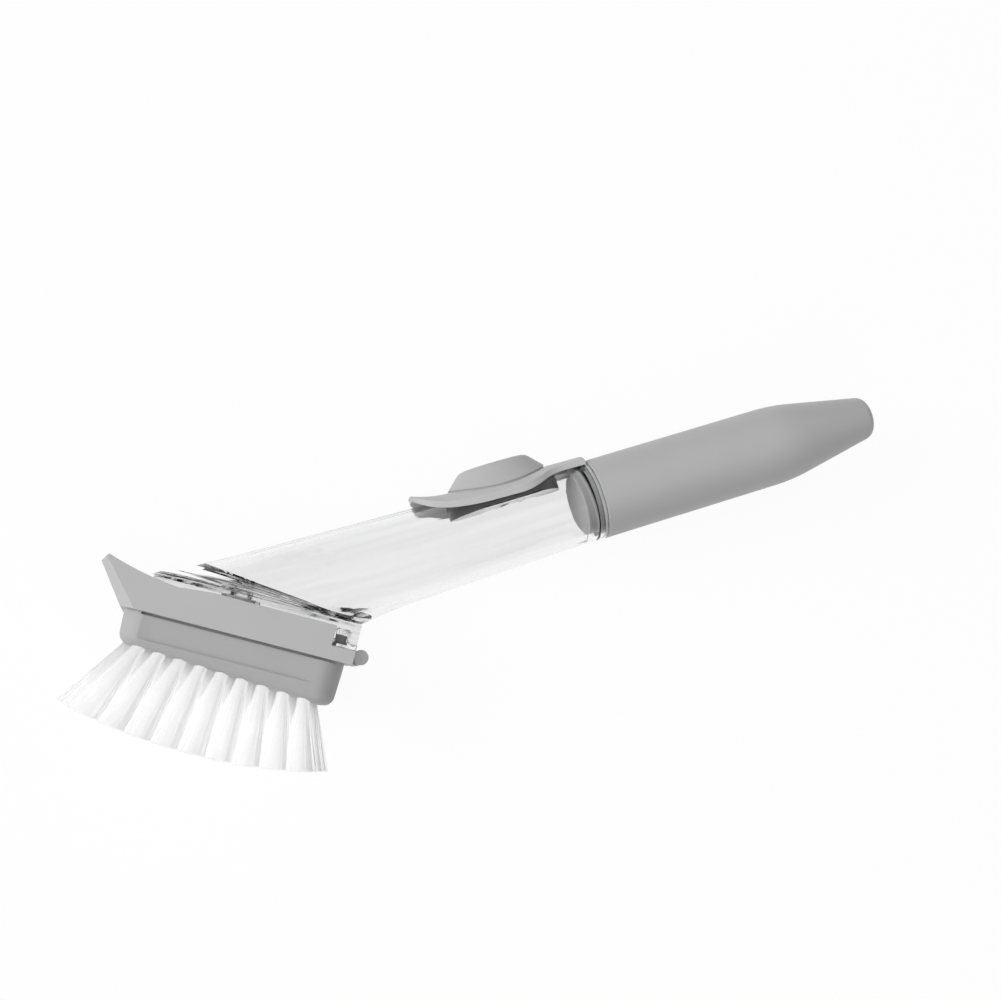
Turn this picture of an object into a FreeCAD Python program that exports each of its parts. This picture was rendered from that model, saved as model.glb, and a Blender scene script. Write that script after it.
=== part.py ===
"""Dish wand with a soap tank: handle, pump button, slide-on brush head.

Row frame: X runs along the handle's axis towards its tail, Y points to the thumb button, Z is up, so
the wand lies on its side. The origin is on the axis, at the handle's front face.
Head frame: x runs along the slanted foot towards its rear, y is square to the foot towards the tank,
z is Z. Depths below the foot's reference plane are written as negative y.
"""
import FreeCAD, Part
import math
import os
import re

import Sketcher

Vector = FreeCAD.Vector
Rotation = FreeCAD.Rotation
Placement = FreeCAD.Placement

SIZES = [
    # handle
    ("handle_radius", 14.0, "outside of the handle's straight part"),
    ("handle_length", 108.2, "front face to tail"),
    ("handle_straight", 73.0, "length of the straight part"),
    ("tail_radius", 7.3, "radius where the taper meets the tail"),
    ("tail_round", 3.4, "rounding of the tail's edge"),
    ("taper_blend", 70.0, "rounding between the straight part and the taper"),
    ("handle_wall", 2.2, "wall of the handle"),
    ("handle_gap", 0.15, "gap between the neck's ring and the handle"),
    # plug and thread
    ("plug_step", 0.8, "how far the plug's core lies inside the handle's wall"),
    ("plug_radius", "=handle_radius - handle_wall - plug_step", "core of the threaded plug"),
    ("plug_reach", 6.4, "plug's reach into the neck"),
    ("plug_seat", 16.0, "plug's length inside the handle"),
    ("plug_wall", 2.0, "wall of the plug"),
    ("glue_gap", 0.1, "gap of glued or welded round seats"),
    ("thread_pitch", 4.0, "pitch of the thread"),
    ("thread_rise", 0.8, "height of the thread's ridge"),
    ("thread_width", 1.2, "width of the ridge at its root"),
    ("thread_length", 4.0, "axial length of the ridge"),
    ("thread_start", 5.6, "ridge's first point, in front of the handle"),
    ("thread_gap", 0.4, "clearance of plug and thread in the neck"),
    ("gasket_rim", 1.6, "radial width of the gasket"),
    ("gasket_thickness", 1.1, "thickness of the gasket"),
    # tank
    ("tank_length", 138.6, "handle's front to the head frame's origin"),
    ("tank_front_radius", 17.4, "tube's radius at the head frame's origin"),
    ("neck_step", 0.4, "how far the tube lies inside the handle's line at the ring"),
    ("neck_radius", "=handle_radius - neck_step", "tube's radius in front of the ring"),
    ("ring_width", 3.2, "width of the clear ring in front of the handle"),
    ("tank_wall", 2.0, "wall of the tube"),
    ("neck_depth", 7.4, "depth of the threaded neck"),
    ("tank_overrun", 30.0, "length of the cone cut off by the foot"),
    ("flare_height", 8.0, "height over the origin where the tube starts to flare"),
    ("flare_front", 11.7, "front of the flare on the foot"),
    ("flare_rear", 56.4, "rear of the flare on the foot"),
    ("flare_half", 18.6, "half the flare's width on the foot"),
    # foot
    ("head_tilt", 32.0, "angle between the foot and the handle's axis"),
    ("head_rise", 16.1, "height of the head frame's origin over the axis"),
    ("seat_depth", 4.4, "depth of the flange that the tube stands on"),
    ("foot_nose", 7.0, "centre of the foot's round nose"),
    ("foot_half", 18.9, "half the foot's width"),
    ("foot_rear", 56.6, "rear end of the foot"),
    ("foot_top", 3.0, "thickness of the foot's flange"),
    ("floor_rise", 1.2, "how far the foot's floor reaches up into the tube"),
    ("foot_depth", 13.0, "depth of the foot's underside"),
    ("skirt_wall", 2.5, "wall of the foot's skirt"),
    ("rail_reach", 1.4, "how far the slide rails stand out"),
    ("rail_height", 2.6, "height of the slide rails"),
    ("bead_way", 1.8, "height of the bead's way under the end walls"),
    ("window_front", 49.3, "front edge of the skirt's window"),
    ("window_length", 4.0, "length of the window"),
    ("window_height", 5.0, "height of the window"),
    ("window_sill", 0.9, "window's height over the underside"),
    # outlet
    ("outlet_place", 17.0, "outlet's place along the foot"),
    ("outlet_radius", 3.8, "outlet hole"),
    ("valve_radius", 7.0, "rim of the slit valve"),
    ("valve_rim", 1.2, "thickness of the valve's rim"),
    ("valve_nose", 4.2, "length of the valve's nose"),
    ("valve_wall", 1.0, "wall of the valve's nose"),
    ("valve_tip", 1.2, "radius of the nose's end"),
    ("valve_slit", 0.3, "width of the valve's slit"),
    ("valve_gap", 0.1, "gap of the valve in its seat"),
    ("retainer_flange", 1.6, "thickness of the retainer's flange"),
    ("retainer_reach", 1.8, "how far the flange passes the valve's rim"),
    # thumb pad and pump
    ("pad_place", 31.2, "pad's centre in front of the handle"),
    ("pad_half_length", 17.6, "half the pad's length at its base"),
    ("pad_half_width", 9.0, "half the pad's width at its base"),
    ("pad_top_half_length", 12.2, "half the length of the pad's top"),
    ("pad_top_half_width", 5.6, "half the width of the pad's top"),
    ("pad_base", 16.6, "height of the pad's base line"),
    ("pad_top", 22.2, "height of the pad's top"),
    ("pad_bottom", 12.6, "lower edge of the pad's skirt"),
    ("pad_wall", 1.8, "wall of the pad"),
    ("pad_round", 2.4, "rounding of the pad's top edge"),
    ("pad_gap", 0.4, "clearance round the pad"),
    ("well_floor", 9.3, "height of the pump well's floor"),
    ("well_wall", 2.0, "wall round the pump well"),
    ("air_port", 1.5, "radius of the air port"),
    ("bellows_radius", 5.6, "outside of the bellows"),
    ("bellows_wall", 0.9, "wall of the bellows"),
    ("bellows_rim", 6.8, "radius of the bellows' rim"),
    ("bellows_ring_height", 1.0, "thickness of rim and clamp ring"),
    ("bellows_gap", 0.3, "gap between bellows and pad"),
    # saddle
    ("saddle_front", 62.0, "lip's front in front of the handle"),
    ("saddle_rear", 0.8, "saddle's rear edge in front of the handle"),
    ("saddle_thickness", 1.7, "thickness over the tube"),
    ("saddle_seat", 0.15, "gap between saddle and tube"),
    ("lip_length", 13.0, "length of the flared lip"),
    ("lip_rise", 2.2, "rise of the lip's tip"),
    ("lip_thickness", 2.0, "thickness of the lip's tip"),
    ("lip_round", 40.0, "rounding of the lip's flare"),
    ("saddle_rear_half", 6.9, "half the saddle's width at its rear"),
    ("saddle_waist", 8.0, "where the rear strap starts to widen"),
    ("saddle_shoulder", 27.0, "where the saddle is at its widest"),
    ("saddle_bow", 38.0, "where the saddle starts to narrow again"),
    ("saddle_half", 11.4, "half the saddle's width beside the pad"),
    ("hollow_share", 0.42, "share of the widening that is hollow"),
    ("lip_shoulder", 56.0, "where the lip's corner starts"),
    ("lip_half", 9.2, "half the lip's width at its corner"),
    ("lip_tip_half", 4.6, "half the width of the lip's straight tip"),
    ("lip_corner", 8.0, "rounding of the lip's corners"),
    # carrier
    ("carrier_half", 23.0, "half the carrier's width"),
    ("wall_top", 6.8, "depth of the walls' top edge"),
    ("wall_rear", 48.4, "rear end of the walls"),
    ("floor_rear", 56.4, "rear end of the carrier's floor"),
    ("carrier_bottom", 17.9, "depth of the carrier's underside"),
    ("slide_gap", 0.4, "clearance of the slide"),
    ("prow_foot", 19.0, "front of the carrier's underside"),
    ("prow_reach", 28.3, "scraper edge in front of the origin"),
    ("prow_low", 5.6, "depth of the scraper edge's lower corner"),
    ("prow_high", 3.1, "depth of the scraper edge's upper corner"),
    ("prow_edge", 1.9, "set-back of the scraper's upper corner"),
    ("prow_back", 3.0, "lowest point of the prow's hollow"),
    ("prow_dip", 1.1, "depth of the hollow below the walls' top"),
    ("prow_join", 8.0, "where the walls' top edge starts to dip"),
    ("prow_hollow", 100.0, "radius of the prow's hollow top"),
    ("prow_bevel", 4.6, "bevel of the prow's foot along the head"),
    ("prow_bevel_side", 4.6, "bevel of the prow's foot across the head"),
    ("prow_narrowing", 0.36, "share of the bevel lost between foot and scraper edge"),
    # latch
    ("latch_root", 40.0, "hinge line of the tongue"),
    ("latch_half", 7.0, "half the tongue's width"),
    ("latch_gap", 0.5, "slot round the tongue"),
    ("latch_top", 14.2, "depth of the tongue's top"),
    ("latch_thickness", 2.8, "thickness of the tongue"),
    ("bead_radius", 2.5, "round bead at the tongue's end"),
    ("bead_place", 59.8, "bead's place along the head"),
    ("bead_depth", 14.2, "depth of the bead's axis"),
    ("bead_half", 11.0, "half the bead's length"),
    ("latch_relief", 3.4, "depth of the block's relief under the tongue"),
    # bristle block
    ("block_front", 17.6, "front of the block"),
    ("block_rear", 54.8, "rear of the block"),
    ("block_half", 21.0, "half the block's width"),
    ("block_low_front", 28.6, "depth of the block's underside at its front"),
    ("block_low_rear", 32.6, "depth of the block's underside at its rear"),
    ("block_corner", 8.0, "rounding of the block's upright corners"),
    ("block_draft", 0.9, "how far the block's ends lean in towards its underside"),
    ("block_round", 3.4, "rounding of the block's lower edge"),
    ("panel_front", 12.0, "front of the side panel's ramp"),
    ("panel_ramp", 4.6, "length of the side panel's ramps"),
    ("panel_rear", 46.0, "rear of the side panel's ramp"),
    ("panel_low", 26.4, "depth of the side panel's lower edge"),
    ("panel_sink", 0.7, "how deep the side panel is sunk"),
    ("seam_height", 0.8, "height of the shadow groove under the carrier"),
    ("seam_depth", 1.5, "depth of the shadow groove in the side panel"),
    ("soap_radius", 4.5, "soap passage through carrier and block"),
    # tufts
    ("tuft_radius", 2.1, "tuft's radius at its root"),
    ("tuft_tip_radius", 3.9, "tuft's radius at its tip"),
    ("tuft_gap", 0.08, "gap of a tuft in its hole"),
    ("tuft_hole", 6.0, "depth of the tuft holes"),
    ("tuft_collar", 1.6, "tuft's straight stretch outside its hole"),
    ("tuft_pitch", 6.8, "pitch along a row"),
    ("tuft_row_gap", 8.5, "distance between rows"),
    ("tuft_middle", 17.3, "middle of the rows along the head"),
    ("fan_front", 25.8, "lean of the front tufts"),
    ("fan_rear", -14.5, "lean of the rear tufts"),
    ("fan_side", 4.0, "lean of the outer rows to the side"),
    ("trim_depth", 57.4, "depth of the trimmed tips in the middle"),
    ("trim_radius", 180.0, "radius of the trimmed tips' arc"),
    ("anchor_width", 3.4, "width of an anchor staple"),
    ("anchor_height", 1.5, "height of an anchor staple"),
    ("anchor_thickness", 0.4, "thickness of an anchor staple"),
    ("anchor_gap", 0.1, "gap between anchor, hole and tuft"),
]
TUFT_COUNTS = [9, 10, 9, 10, 9]
NAMES = {size[0] for size in SIZES}

ALONG = {
    "x": Rotation(Vector(0, 1, 0), 90),
    "y": Rotation(Vector(1, 0, 0), -90),
    "z": Rotation(),
}
UPRIGHT = Rotation(Vector(1, 0, 0), 90)
FAR = "100"
OVERCUT = "1"
NEAR = 0.01

doc = FreeCAD.newDocument("dish_wand")
sheet = doc.addObject("Spreadsheet::Sheet", "sizes")
for row, (alias, size, note) in enumerate(SIZES, 1):
    sheet.set(f"A{row}", alias)
    sheet.set(f"B{row}", str(size))
    sheet.setAlias(f"B{row}", alias)
    sheet.set(f"C{row}", note)
doc.recompute()


def cells(expression):
    """An expression with its size names spelled as cells of the sheet."""
    return re.sub(r"[a-z][a-z_]+", lambda m: f"sizes.{m[0]}" if m[0] in NAMES else m[0], expression)


def size_of(alias):
    """A size from the sheet."""
    return float(sheet.get(alias))


def bind(item, **expressions):
    """Binds properties of an item to expressions on the sheet."""
    places = {"x": "Placement.Base.x", "y": "Placement.Base.y", "z": "Placement.Base.z"}
    for name, expression in expressions.items():
        item.setExpression(places.get(name, name), cells(expression))
    return item


def box(name, x, y, z):
    """A box between pairs of low and high expressions."""
    item = doc.addObject("Part::Box", name)
    spans = [f"({high}) - ({low})" for low, high in (x, y, z)]
    return bind(item, Length=spans[0], Width=spans[1], Height=spans[2], x=x[0], y=y[0], z=z[0])


def rod(name, axis, radius, low, high, x="0", y="0", z="0"):
    """A cylinder along an axis, between a low and a high expression."""
    item = doc.addObject("Part::Cylinder", name)
    item.Placement = Placement(Vector(), ALONG[axis])
    base = {"x": x, "y": y, "z": z}
    base[axis] = low
    return bind(item, Radius=radius, Height=f"({high}) - ({low})", **base)


def cone(name, axis, low_radius, high_radius, low, high, x="0", y="0", z="0"):
    """A cone along an axis, between a low and a high expression."""
    item = doc.addObject("Part::Cone", name)
    item.Placement = Placement(Vector(), ALONG[axis])
    base = {"x": x, "y": y, "z": z}
    base[axis] = low
    bind(item, Radius1=low_radius, Radius2=high_radius, Height=f"({high}) - ({low})", **base)
    return item


def fuse(name, *items):
    """Items joined into one solid."""
    item = doc.addObject("Part::MultiFuse", name)
    item.Shapes = list(items)
    item.Refine = True
    return item


def common(name, *items):
    """What the items share."""
    item = doc.addObject("Part::MultiCommon", name)
    item.Shapes = list(items)
    return item


def cut(name, base, *tools):
    """A base with tools taken away."""
    item = doc.addObject("Part::Cut", name)
    item.Base = base
    item.Tool = tools[0] if len(tools) == 1 else group(f"{name}_tools", *tools)
    return item


def group(name, *items):
    """Items side by side as one compound."""
    item = doc.addObject("Part::Compound", name)
    item.Links = list(items)
    return item


def in_head_frame(item):
    """Gives an item the head frame's place and tilt."""
    item.Placement = Placement(Vector(), Rotation(Vector(0, 0, -1), 1))
    return bind(item, x="-tank_length", y="head_rise", **{"Placement.Rotation.Angle": "head_tilt"})


def outline(name, corners, turn=Rotation()):
    """A closed, fully constrained sketch.

    A corner is (x, y), reached by a line, or (x, y, radius, side), reached by an arc with its centre
    on the left (1) or right (-1) of the way there.
    """
    sketch = doc.addObject("Sketcher::SketchObject", name)
    sketch.Placement = Placement(Vector(), turn)
    spots = []
    for corner in corners:
        here = [float(sheet.evalExpression(cells(word))) for word in corner[:2]]
        spots.append(Vector(here[0], here[1], 0))
    ends = []
    for index, corner in enumerate(corners):
        start, end = spots[index - 1], spots[index]
        if len(corner) == 2:
            edge = sketch.addGeometry(Part.LineSegment(start, end))
            ends.append((edge, 1, 2))
            continue
        radius, side = float(sheet.evalExpression(cells(corner[2]))), corner[3]
        chord = end - start
        drop = math.sqrt(max(radius ** 2 - chord.Length ** 2 / 4, 0))
        centre = (start + end) / 2 + Vector(-chord.y, chord.x, 0).normalize() * drop * side
        circle = Part.Circle(centre, Vector(0, 0, 1), radius)
        first, last = (start, end) if side > 0 else (end, start)
        arc = Part.ArcOfCircle(circle, circle.parameter(first), circle.parameter(last))
        edge = sketch.addGeometry(arc)
        ends.append((edge, 1, 2) if side > 0 else (edge, 2, 1))
        rule = sketch.addConstraint(Sketcher.Constraint("Radius", edge, radius))
        sketch.setExpression(f"Constraints[{rule}]", cells(corner[2]))
    for index, corner in enumerate(corners):
        edge, _, tip = ends[index]
        following = ends[(index + 1) % len(ends)]
        sketch.addConstraint(Sketcher.Constraint("Coincident", edge, tip, following[0], following[1]))
        for kind, word, here in (("DistanceX", corner[0], spots[index].x),
                                 ("DistanceY", corner[1], spots[index].y)):
            rule = sketch.addConstraint(Sketcher.Constraint(kind, -1, 1, edge, tip, here))
            sketch.setExpression(f"Constraints[{rule}]", cells(word))
    return sketch


def prism(name, sketch, direction, low, high):
    """A sketch pulled along a direction, between a low and a high expression."""
    item = doc.addObject("Part::Extrusion", name)
    item.Base = sketch
    item.DirMode = "Custom"
    item.Dir = direction
    item.Solid = True
    return bind(item, LengthFwd=high, LengthRev=f"-({low})")


def lathe(name, sketch):
    """A sketch turned round the X axis."""
    item = doc.addObject("Part::Revolution", name)
    item.Source = sketch
    item.Axis = Vector(1, 0, 0)
    item.Base = Vector()
    item.Angle = 360
    item.Solid = True
    return item


def flat_oval(name, centre, half_length, half_width, height):
    """A flat ellipse at a height, its long axis along X."""
    item = doc.addObject("Part::Ellipse", name)
    item.Placement = Placement(Vector(), UPRIGHT)
    return bind(item, MajorRadius=half_length, MinorRadius=half_width, x=centre, y=height)


def oval(name, half_length, half_width, height):
    """A flat ellipse over the pad's place."""
    return flat_oval(name, "-pad_place", half_length, half_width, height)


def oval_prism(name, half_length, half_width, low, high):
    """An upright elliptic prism over the pad's place."""
    return prism(name, oval(f"{name}_oval", half_length, half_width, low), Vector(0, 1, 0),
                 "0", f"({high}) - ({low})")


def coil(name, ahead, length, corners):
    """A thread form swept along a helix round X that starts ahead of the thread's start."""
    helix = doc.addObject("Part::Helix", f"{name}_helix")
    helix.Placement = Placement(Vector(), ALONG["x"])
    helix.SegmentLength = 0
    bind(helix, Pitch="thread_pitch", Height=length, Radius="plug_radius", x=f"-thread_start - ({ahead})")
    form = outline(f"{name}_form", corners, ALONG["x"] * UPRIGHT)
    bind(form, x=f"-thread_start - ({ahead})")
    sweep = doc.addObject("Part::Sweep", name)
    sweep.Sections = [form]
    sweep.Spine = (helix, ["Edge1"])
    sweep.Solid = True
    sweep.Frenet = True
    return sweep


def round_edges(name, base, radius, chosen):
    """Rounds the edges of an item that a test chooses."""
    doc.recompute()
    item = doc.addObject("Part::Fillet", name)
    item.Base = base
    edges = enumerate(base.Shape.Edges, 1)
    item.Edges = [(number, radius, radius) for number, edge in edges if chosen(edge)]
    return item


def named(item, label):
    """Gives a finished sub-part its label."""
    item.Label = label
    return item


def tube_radius(ahead):
    """The tube's outside radius at a distance in front of the handle."""
    slope = "(tank_front_radius - neck_radius) / (tank_length - ring_width)"
    return f"(neck_radius + {slope} * ({ahead} - ring_width))"


def make_handle():
    """The hollow, tapered handle, turned round its axis."""
    body = doc.addObject("PartDesign::Body", "handle_body")
    sketch = outline("handle_profile", [
        ("0", "handle_radius - handle_wall"),
        ("0", "handle_radius"),
        ("handle_straight", "handle_radius"),
        ("handle_length", "tail_radius"),
        ("handle_length", "0"),
        ("handle_length - handle_wall", "0"),
        ("handle_length - handle_wall", "tail_radius - handle_wall"),
        ("handle_straight", "handle_radius - handle_wall"),
    ])
    body.addObject(sketch)
    plane = next(f for f in body.Origin.OriginFeatures if f.Role == "XY_Plane")
    sketch.AttachmentSupport = [(plane, "")]
    sketch.MapMode = "FlatFace"
    turned = body.newObject("PartDesign::Revolution", "handle_turned")
    turned.Profile = sketch
    turned.ReferenceAxis = (sketch, ["H_Axis"])
    turned.Angle = 360
    doc.recompute()
    straight, length = size_of("handle_straight"), size_of("handle_length")
    outside, tail = size_of("handle_radius"), size_of("tail_radius")

    def ring(x, radius):
        """The name of the turned edge at a place and radius."""
        for number, edge in enumerate(turned.Shape.Edges, 1):
            curve = edge.Curve
            if isinstance(curve, Part.Circle) and abs(curve.Center.x - x) < NEAR:
                if abs(curve.Radius - radius) < NEAR:
                    return f"Edge{number}"
        raise ValueError(f"no turned edge at {x}, {radius}")

    blend = body.newObject("PartDesign::Fillet", "taper_rounding")
    blend.Base = (turned, [ring(straight, outside)])
    bind(blend, Radius="taper_blend")
    doc.recompute()
    turned = blend
    tip = body.newObject("PartDesign::Fillet", "tail_rounding")
    tip.Base = (blend, [ring(length, tail)])
    bind(tip, Radius="tail_round")
    body.Tip = tip
    return named(body, "handle_shell")


def make_plug():
    """The threaded plug that closes the handle's front."""
    ridge = coil("ridge", "0", "thread_length", [
        ("plug_radius - thread_gap", "-thread_width / 2"),
        ("plug_radius + thread_rise", "-thread_width / 4"),
        ("plug_radius + thread_rise", "thread_width / 4"),
        ("plug_radius - thread_gap", "thread_width / 2"),
    ])
    core = rod("plug_core", "x", "plug_radius", "-plug_reach", "plug_seat")
    seat = rod("plug_seat_rod", "x", "handle_radius - handle_wall - glue_gap", "0", "plug_seat")
    hollow = rod("plug_hollow", "x", "plug_radius - plug_wall", "plug_wall - plug_reach",
                 f"plug_seat + {OVERCUT}")
    return named(cut("plug", fuse("plug_solid", core, seat, ridge), hollow), "handle_plug")


def make_gasket():
    """The flat washer between neck and handle."""
    washer = rod("washer", "x", "plug_radius + thread_gap + gasket_rim",
                 "-gasket_thickness - handle_gap", "-handle_gap")
    hole = rod("washer_hole", "x", "plug_radius + thread_gap", f"-gasket_thickness - {OVERCUT}", OVERCUT)
    return named(cut("gasket", washer, hole), "neck_gasket")


def tank_cone(name, skin, reach):
    """The tube's cone, set in from the outside by skin, ending reach in front of the handle."""
    front = f"{tube_radius('(tank_length + tank_overrun)')} - {skin}"
    return cone(name, "x", front, f"{tube_radius(reach)} - {skin}", "-tank_length - tank_overrun",
                f"-{reach}")


def tube_meets(height, side):
    """Where the tube's top (1) or bottom (-1) line reaches a height over the foot.

    Returns the place along the row's X axis from the head frame's origin, and the place along the foot.
    """
    slope = "((tank_front_radius - neck_radius) / (tank_length - ring_width))"
    rise = f"({side} * tank_front_radius - head_rise)"
    run = (f"((({height}) - {rise} * cos(head_tilt))"
           f" / (sin(head_tilt) - {side} * {slope} * cos(head_tilt)))")
    along = f"({run} * cos(head_tilt) - ({rise} - {side} * {slope} * {run}) * sin(head_tilt))"
    return run, along


def make_flare():
    """The tube's end, which widens into the foot's outline."""
    front_run, front = tube_meets("flare_height", 1)
    rear_run, rear = tube_meets("flare_height", -1)
    ahead = f"(tank_length - ({front_run} + {rear_run}) / 2)"
    flare = doc.addObject("Part::Loft", "tube_flare")
    flare.Sections = [
        flat_oval("flare_high", f"({front} + {rear}) / 2", f"({rear} - {front}) / 2 - glue_gap",
                  f"{tube_radius(ahead)} - glue_gap", "flare_height"),
        flat_oval("flare_low", "(flare_rear - flare_front) / 2", "(flare_rear + flare_front) / 2",
                  "flare_half", "-seat_depth"),
    ]
    flare.Solid = True
    flare.Ruled = True
    return in_head_frame(group("flare_in_place", flare))


def make_tank():
    """The clear flared tube with its neck, ring, thread ridge and pump well."""
    outside = tank_cone("tube_outside", "0", "ring_width")
    ring = rod("neck_ring", "x", "handle_radius - neck_step / 2", "-ring_width", "-handle_gap")
    inside = tank_cone("tube_inside", "tank_wall", "neck_depth")
    bored = cut("tube_wall", fuse("tube_solid", outside, ring, make_flare()), inside)
    boss_block = oval_prism("well_block", "pad_half_length + pad_gap + well_wall",
                            "pad_half_width + pad_gap + well_wall", "well_floor - well_wall", "pad_base")
    boss = common("well_boss", boss_block, tank_cone("tube_outside_copy", "0", "ring_width"))
    well = oval_prism("well", "pad_half_length + pad_gap", "pad_half_width + pad_gap",
                      "well_floor", "pad_top")
    port = rod("air_port_hole", "y", "air_port", "0", f"well_floor + {OVERCUT}", x="-pad_place")
    bore = rod("neck_bore", "x", "plug_radius + thread_rise + thread_gap", "-neck_depth - thread_gap",
               OVERCUT)
    recess = rod("gasket_seat", "x", "plug_radius + thread_gap + gasket_rim + thread_gap",
                 "-gasket_thickness - 2 * handle_gap", OVERCUT)
    ridge = coil("neck_ridge", "-thread_pitch / 2", "0.3 * thread_pitch", [
        ("plug_radius + thread_gap", "-thread_width / 4"),
        ("plug_radius + thread_rise + 2 * thread_gap", "-thread_width / 2"),
        ("plug_radius + thread_rise + 2 * thread_gap", "thread_width / 2"),
        ("plug_radius + thread_gap", "thread_width / 4"),
    ])
    below = in_head_frame(group("below_seat", box(
        "below_seat_box", (f"-{FAR}", FAR), (f"-{FAR}", "-seat_depth"), (f"-{FAR}", FAR))))
    with_boss = fuse("tube_with_boss", bored, boss)
    bored_neck = cut("tube_bored", with_boss, fuse("tube_hollows", bore, recess))
    opened = cut("tube_opened", bored_neck, fuse("well_hollows", well, port))
    return named(fuse("tube", cut("tube_trimmed", opened, below), ridge), "tank_shell")


def foot_form(name, skin, top, bottom, rear):
    """The foot's plan, with a round nose, set in by skin, between two depths."""
    half = f"(foot_half - {skin})"
    straight = box(f"{name}_straight", ("foot_nose", rear), (f"-({bottom})", f"-({top})"),
                   (f"-{half}", half))
    nose = rod(f"{name}_nose", "y", half, f"-({bottom})", f"-({top})", x="foot_nose")
    return fuse(name, straight, nose)


def make_foot():
    """The clear slanted foot: floor plug, flange, hollow skirt, rails and windows."""
    solid = foot_form("foot_solid", "0", "seat_depth", "foot_depth", "foot_rear")
    rails = box("foot_rails", ("foot_nose", "foot_rear"),
                ("-foot_depth", "rail_height - foot_depth"),
                ("-foot_half - rail_reach", "foot_half + rail_reach"))
    hollow = foot_form("foot_hollow", "skirt_wall", "seat_depth + foot_top", f"foot_depth + {OVERCUT}",
                       "foot_rear - skirt_wall")
    relief = box("foot_bead_way", (f"foot_nose - foot_half - {OVERCUT}", f"foot_rear + {OVERCUT}"),
                 (f"-foot_depth - {OVERCUT}", "bead_way - foot_depth"),
                 ("-foot_half + skirt_wall", "foot_half - skirt_wall"))
    window = box("foot_window", ("window_front", "window_front + window_length"),
                 ("window_sill - foot_depth", "window_sill + window_height - foot_depth"),
                 (f"-{FAR}", FAR))
    skirt = in_head_frame(cut("foot_skirt", fuse("foot_with_rails", solid, rails),
                              hollow, relief, window))
    slab = in_head_frame(group("floor_slab", box(
        "floor_slab_box", (f"-{FAR}", FAR), ("-seat_depth - foot_top / 2", "floor_rise - seat_depth"),
        (f"-{FAR}", FAR))))
    floor = common("foot_floor", slab, tank_cone("tube_floor_cone", "tank_wall - glue_gap", "neck_depth"))
    top = "-seat_depth - foot_top"
    outlet = rod("outlet_hole", "y", "outlet_radius", "-foot_depth", OVERCUT, x="outlet_place")
    seat = rod("valve_seat", "y", "valve_radius + valve_gap", f"{top} - {OVERCUT}",
               f"{top} + 2 * valve_rim", x="outlet_place")
    holes = in_head_frame(fuse("outlet_holes", outlet, seat))
    return named(cut("foot", fuse("foot_blank", skirt, floor), holes), "foot_plate")


def make_valve():
    """The silicone slit valve: a rim with a tapered nose, slit across its end."""
    top = "(2 * valve_rim - seat_depth - foot_top - valve_gap)"
    rim = rod("valve_rim_disc", "y", "valve_radius", f"{top} - valve_rim", top, x="outlet_place")
    low = f"({top} - valve_rim - valve_nose)"
    nose = cone("valve_nose_cone", "y", "valve_tip", "outlet_radius", low, f"{top} - valve_rim",
                x="outlet_place")
    hollow = cone("valve_hollow", "y", "valve_tip - valve_wall", "outlet_radius - valve_wall",
                  f"{low} + valve_wall", f"{top} + valve_gap", x="outlet_place")
    slit = box("valve_slit_box", ("outlet_place - valve_slit / 2", "outlet_place + valve_slit / 2"),
               (f"{low} - {OVERCUT}", f"{low} + 2 * valve_wall"), ("-valve_wall", "valve_wall"))
    solid = fuse("valve_solid", rim, nose)
    return named(in_head_frame(cut("valve", solid, fuse("valve_openings", hollow, slit))), "outlet_valve")


def make_retainer():
    """The ring that holds the valve's rim up in its seat."""
    seam = "(-seat_depth - foot_top - valve_gap)"
    collar = rod("retainer_collar", "y", "valve_radius - valve_gap", seam,
                 "valve_rim - seat_depth - foot_top - 2 * valve_gap", x="outlet_place")
    flange = rod("retainer_disc", "y", "valve_radius + retainer_reach", f"{seam} - retainer_flange", seam,
                 x="outlet_place")
    hole = rod("retainer_hole", "y", "outlet_radius + 2 * valve_gap", "-foot_depth", OVERCUT,
               x="outlet_place")
    ring = cut("retainer", fuse("retainer_solid", collar, flange), hole)
    return named(in_head_frame(ring), "valve_retainer")


def mirrored(corners):
    """An outline's corners from one side of the X axis, followed by their mirror images."""
    other = []
    arc = ()
    for corner in reversed(corners):
        other.append((corner[0], f"-({corner[1]})") + arc)
        arc = corner[2:]
    return corners + other


def flush_radius(along, across):
    """Radius of an arc that sets off along one way and ends along and across by the given spans."""
    return f"((({along})^2 + ({across})^2) / (2 * ({across})))"


def saddle_side():
    """Half of the saddle's plan: strap, shoulder, bow and lip corner."""
    widening = "(saddle_half - saddle_rear_half)"
    blend = "(saddle_shoulder - saddle_waist)"
    hollow = flush_radius(f"hollow_share * {blend}", f"hollow_share * {widening}")
    shoulder = flush_radius(f"(1 - hollow_share) * {blend}", f"(1 - hollow_share) * {widening}")
    bow = flush_radius("lip_shoulder - saddle_bow", "saddle_half - lip_half")
    return [
        ("-saddle_rear", "saddle_rear_half"),
        ("-saddle_waist", "saddle_rear_half"),
        (f"-saddle_waist - hollow_share * {blend}", f"saddle_rear_half + hollow_share * {widening}",
         hollow, -1),
        ("-saddle_shoulder", "saddle_half", shoulder, 1),
        ("-saddle_bow", "saddle_half"),
        ("-lip_shoulder", "lip_half", bow, 1),
        ("-saddle_front", "lip_tip_half", "lip_corner", 1),
    ]


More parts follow.
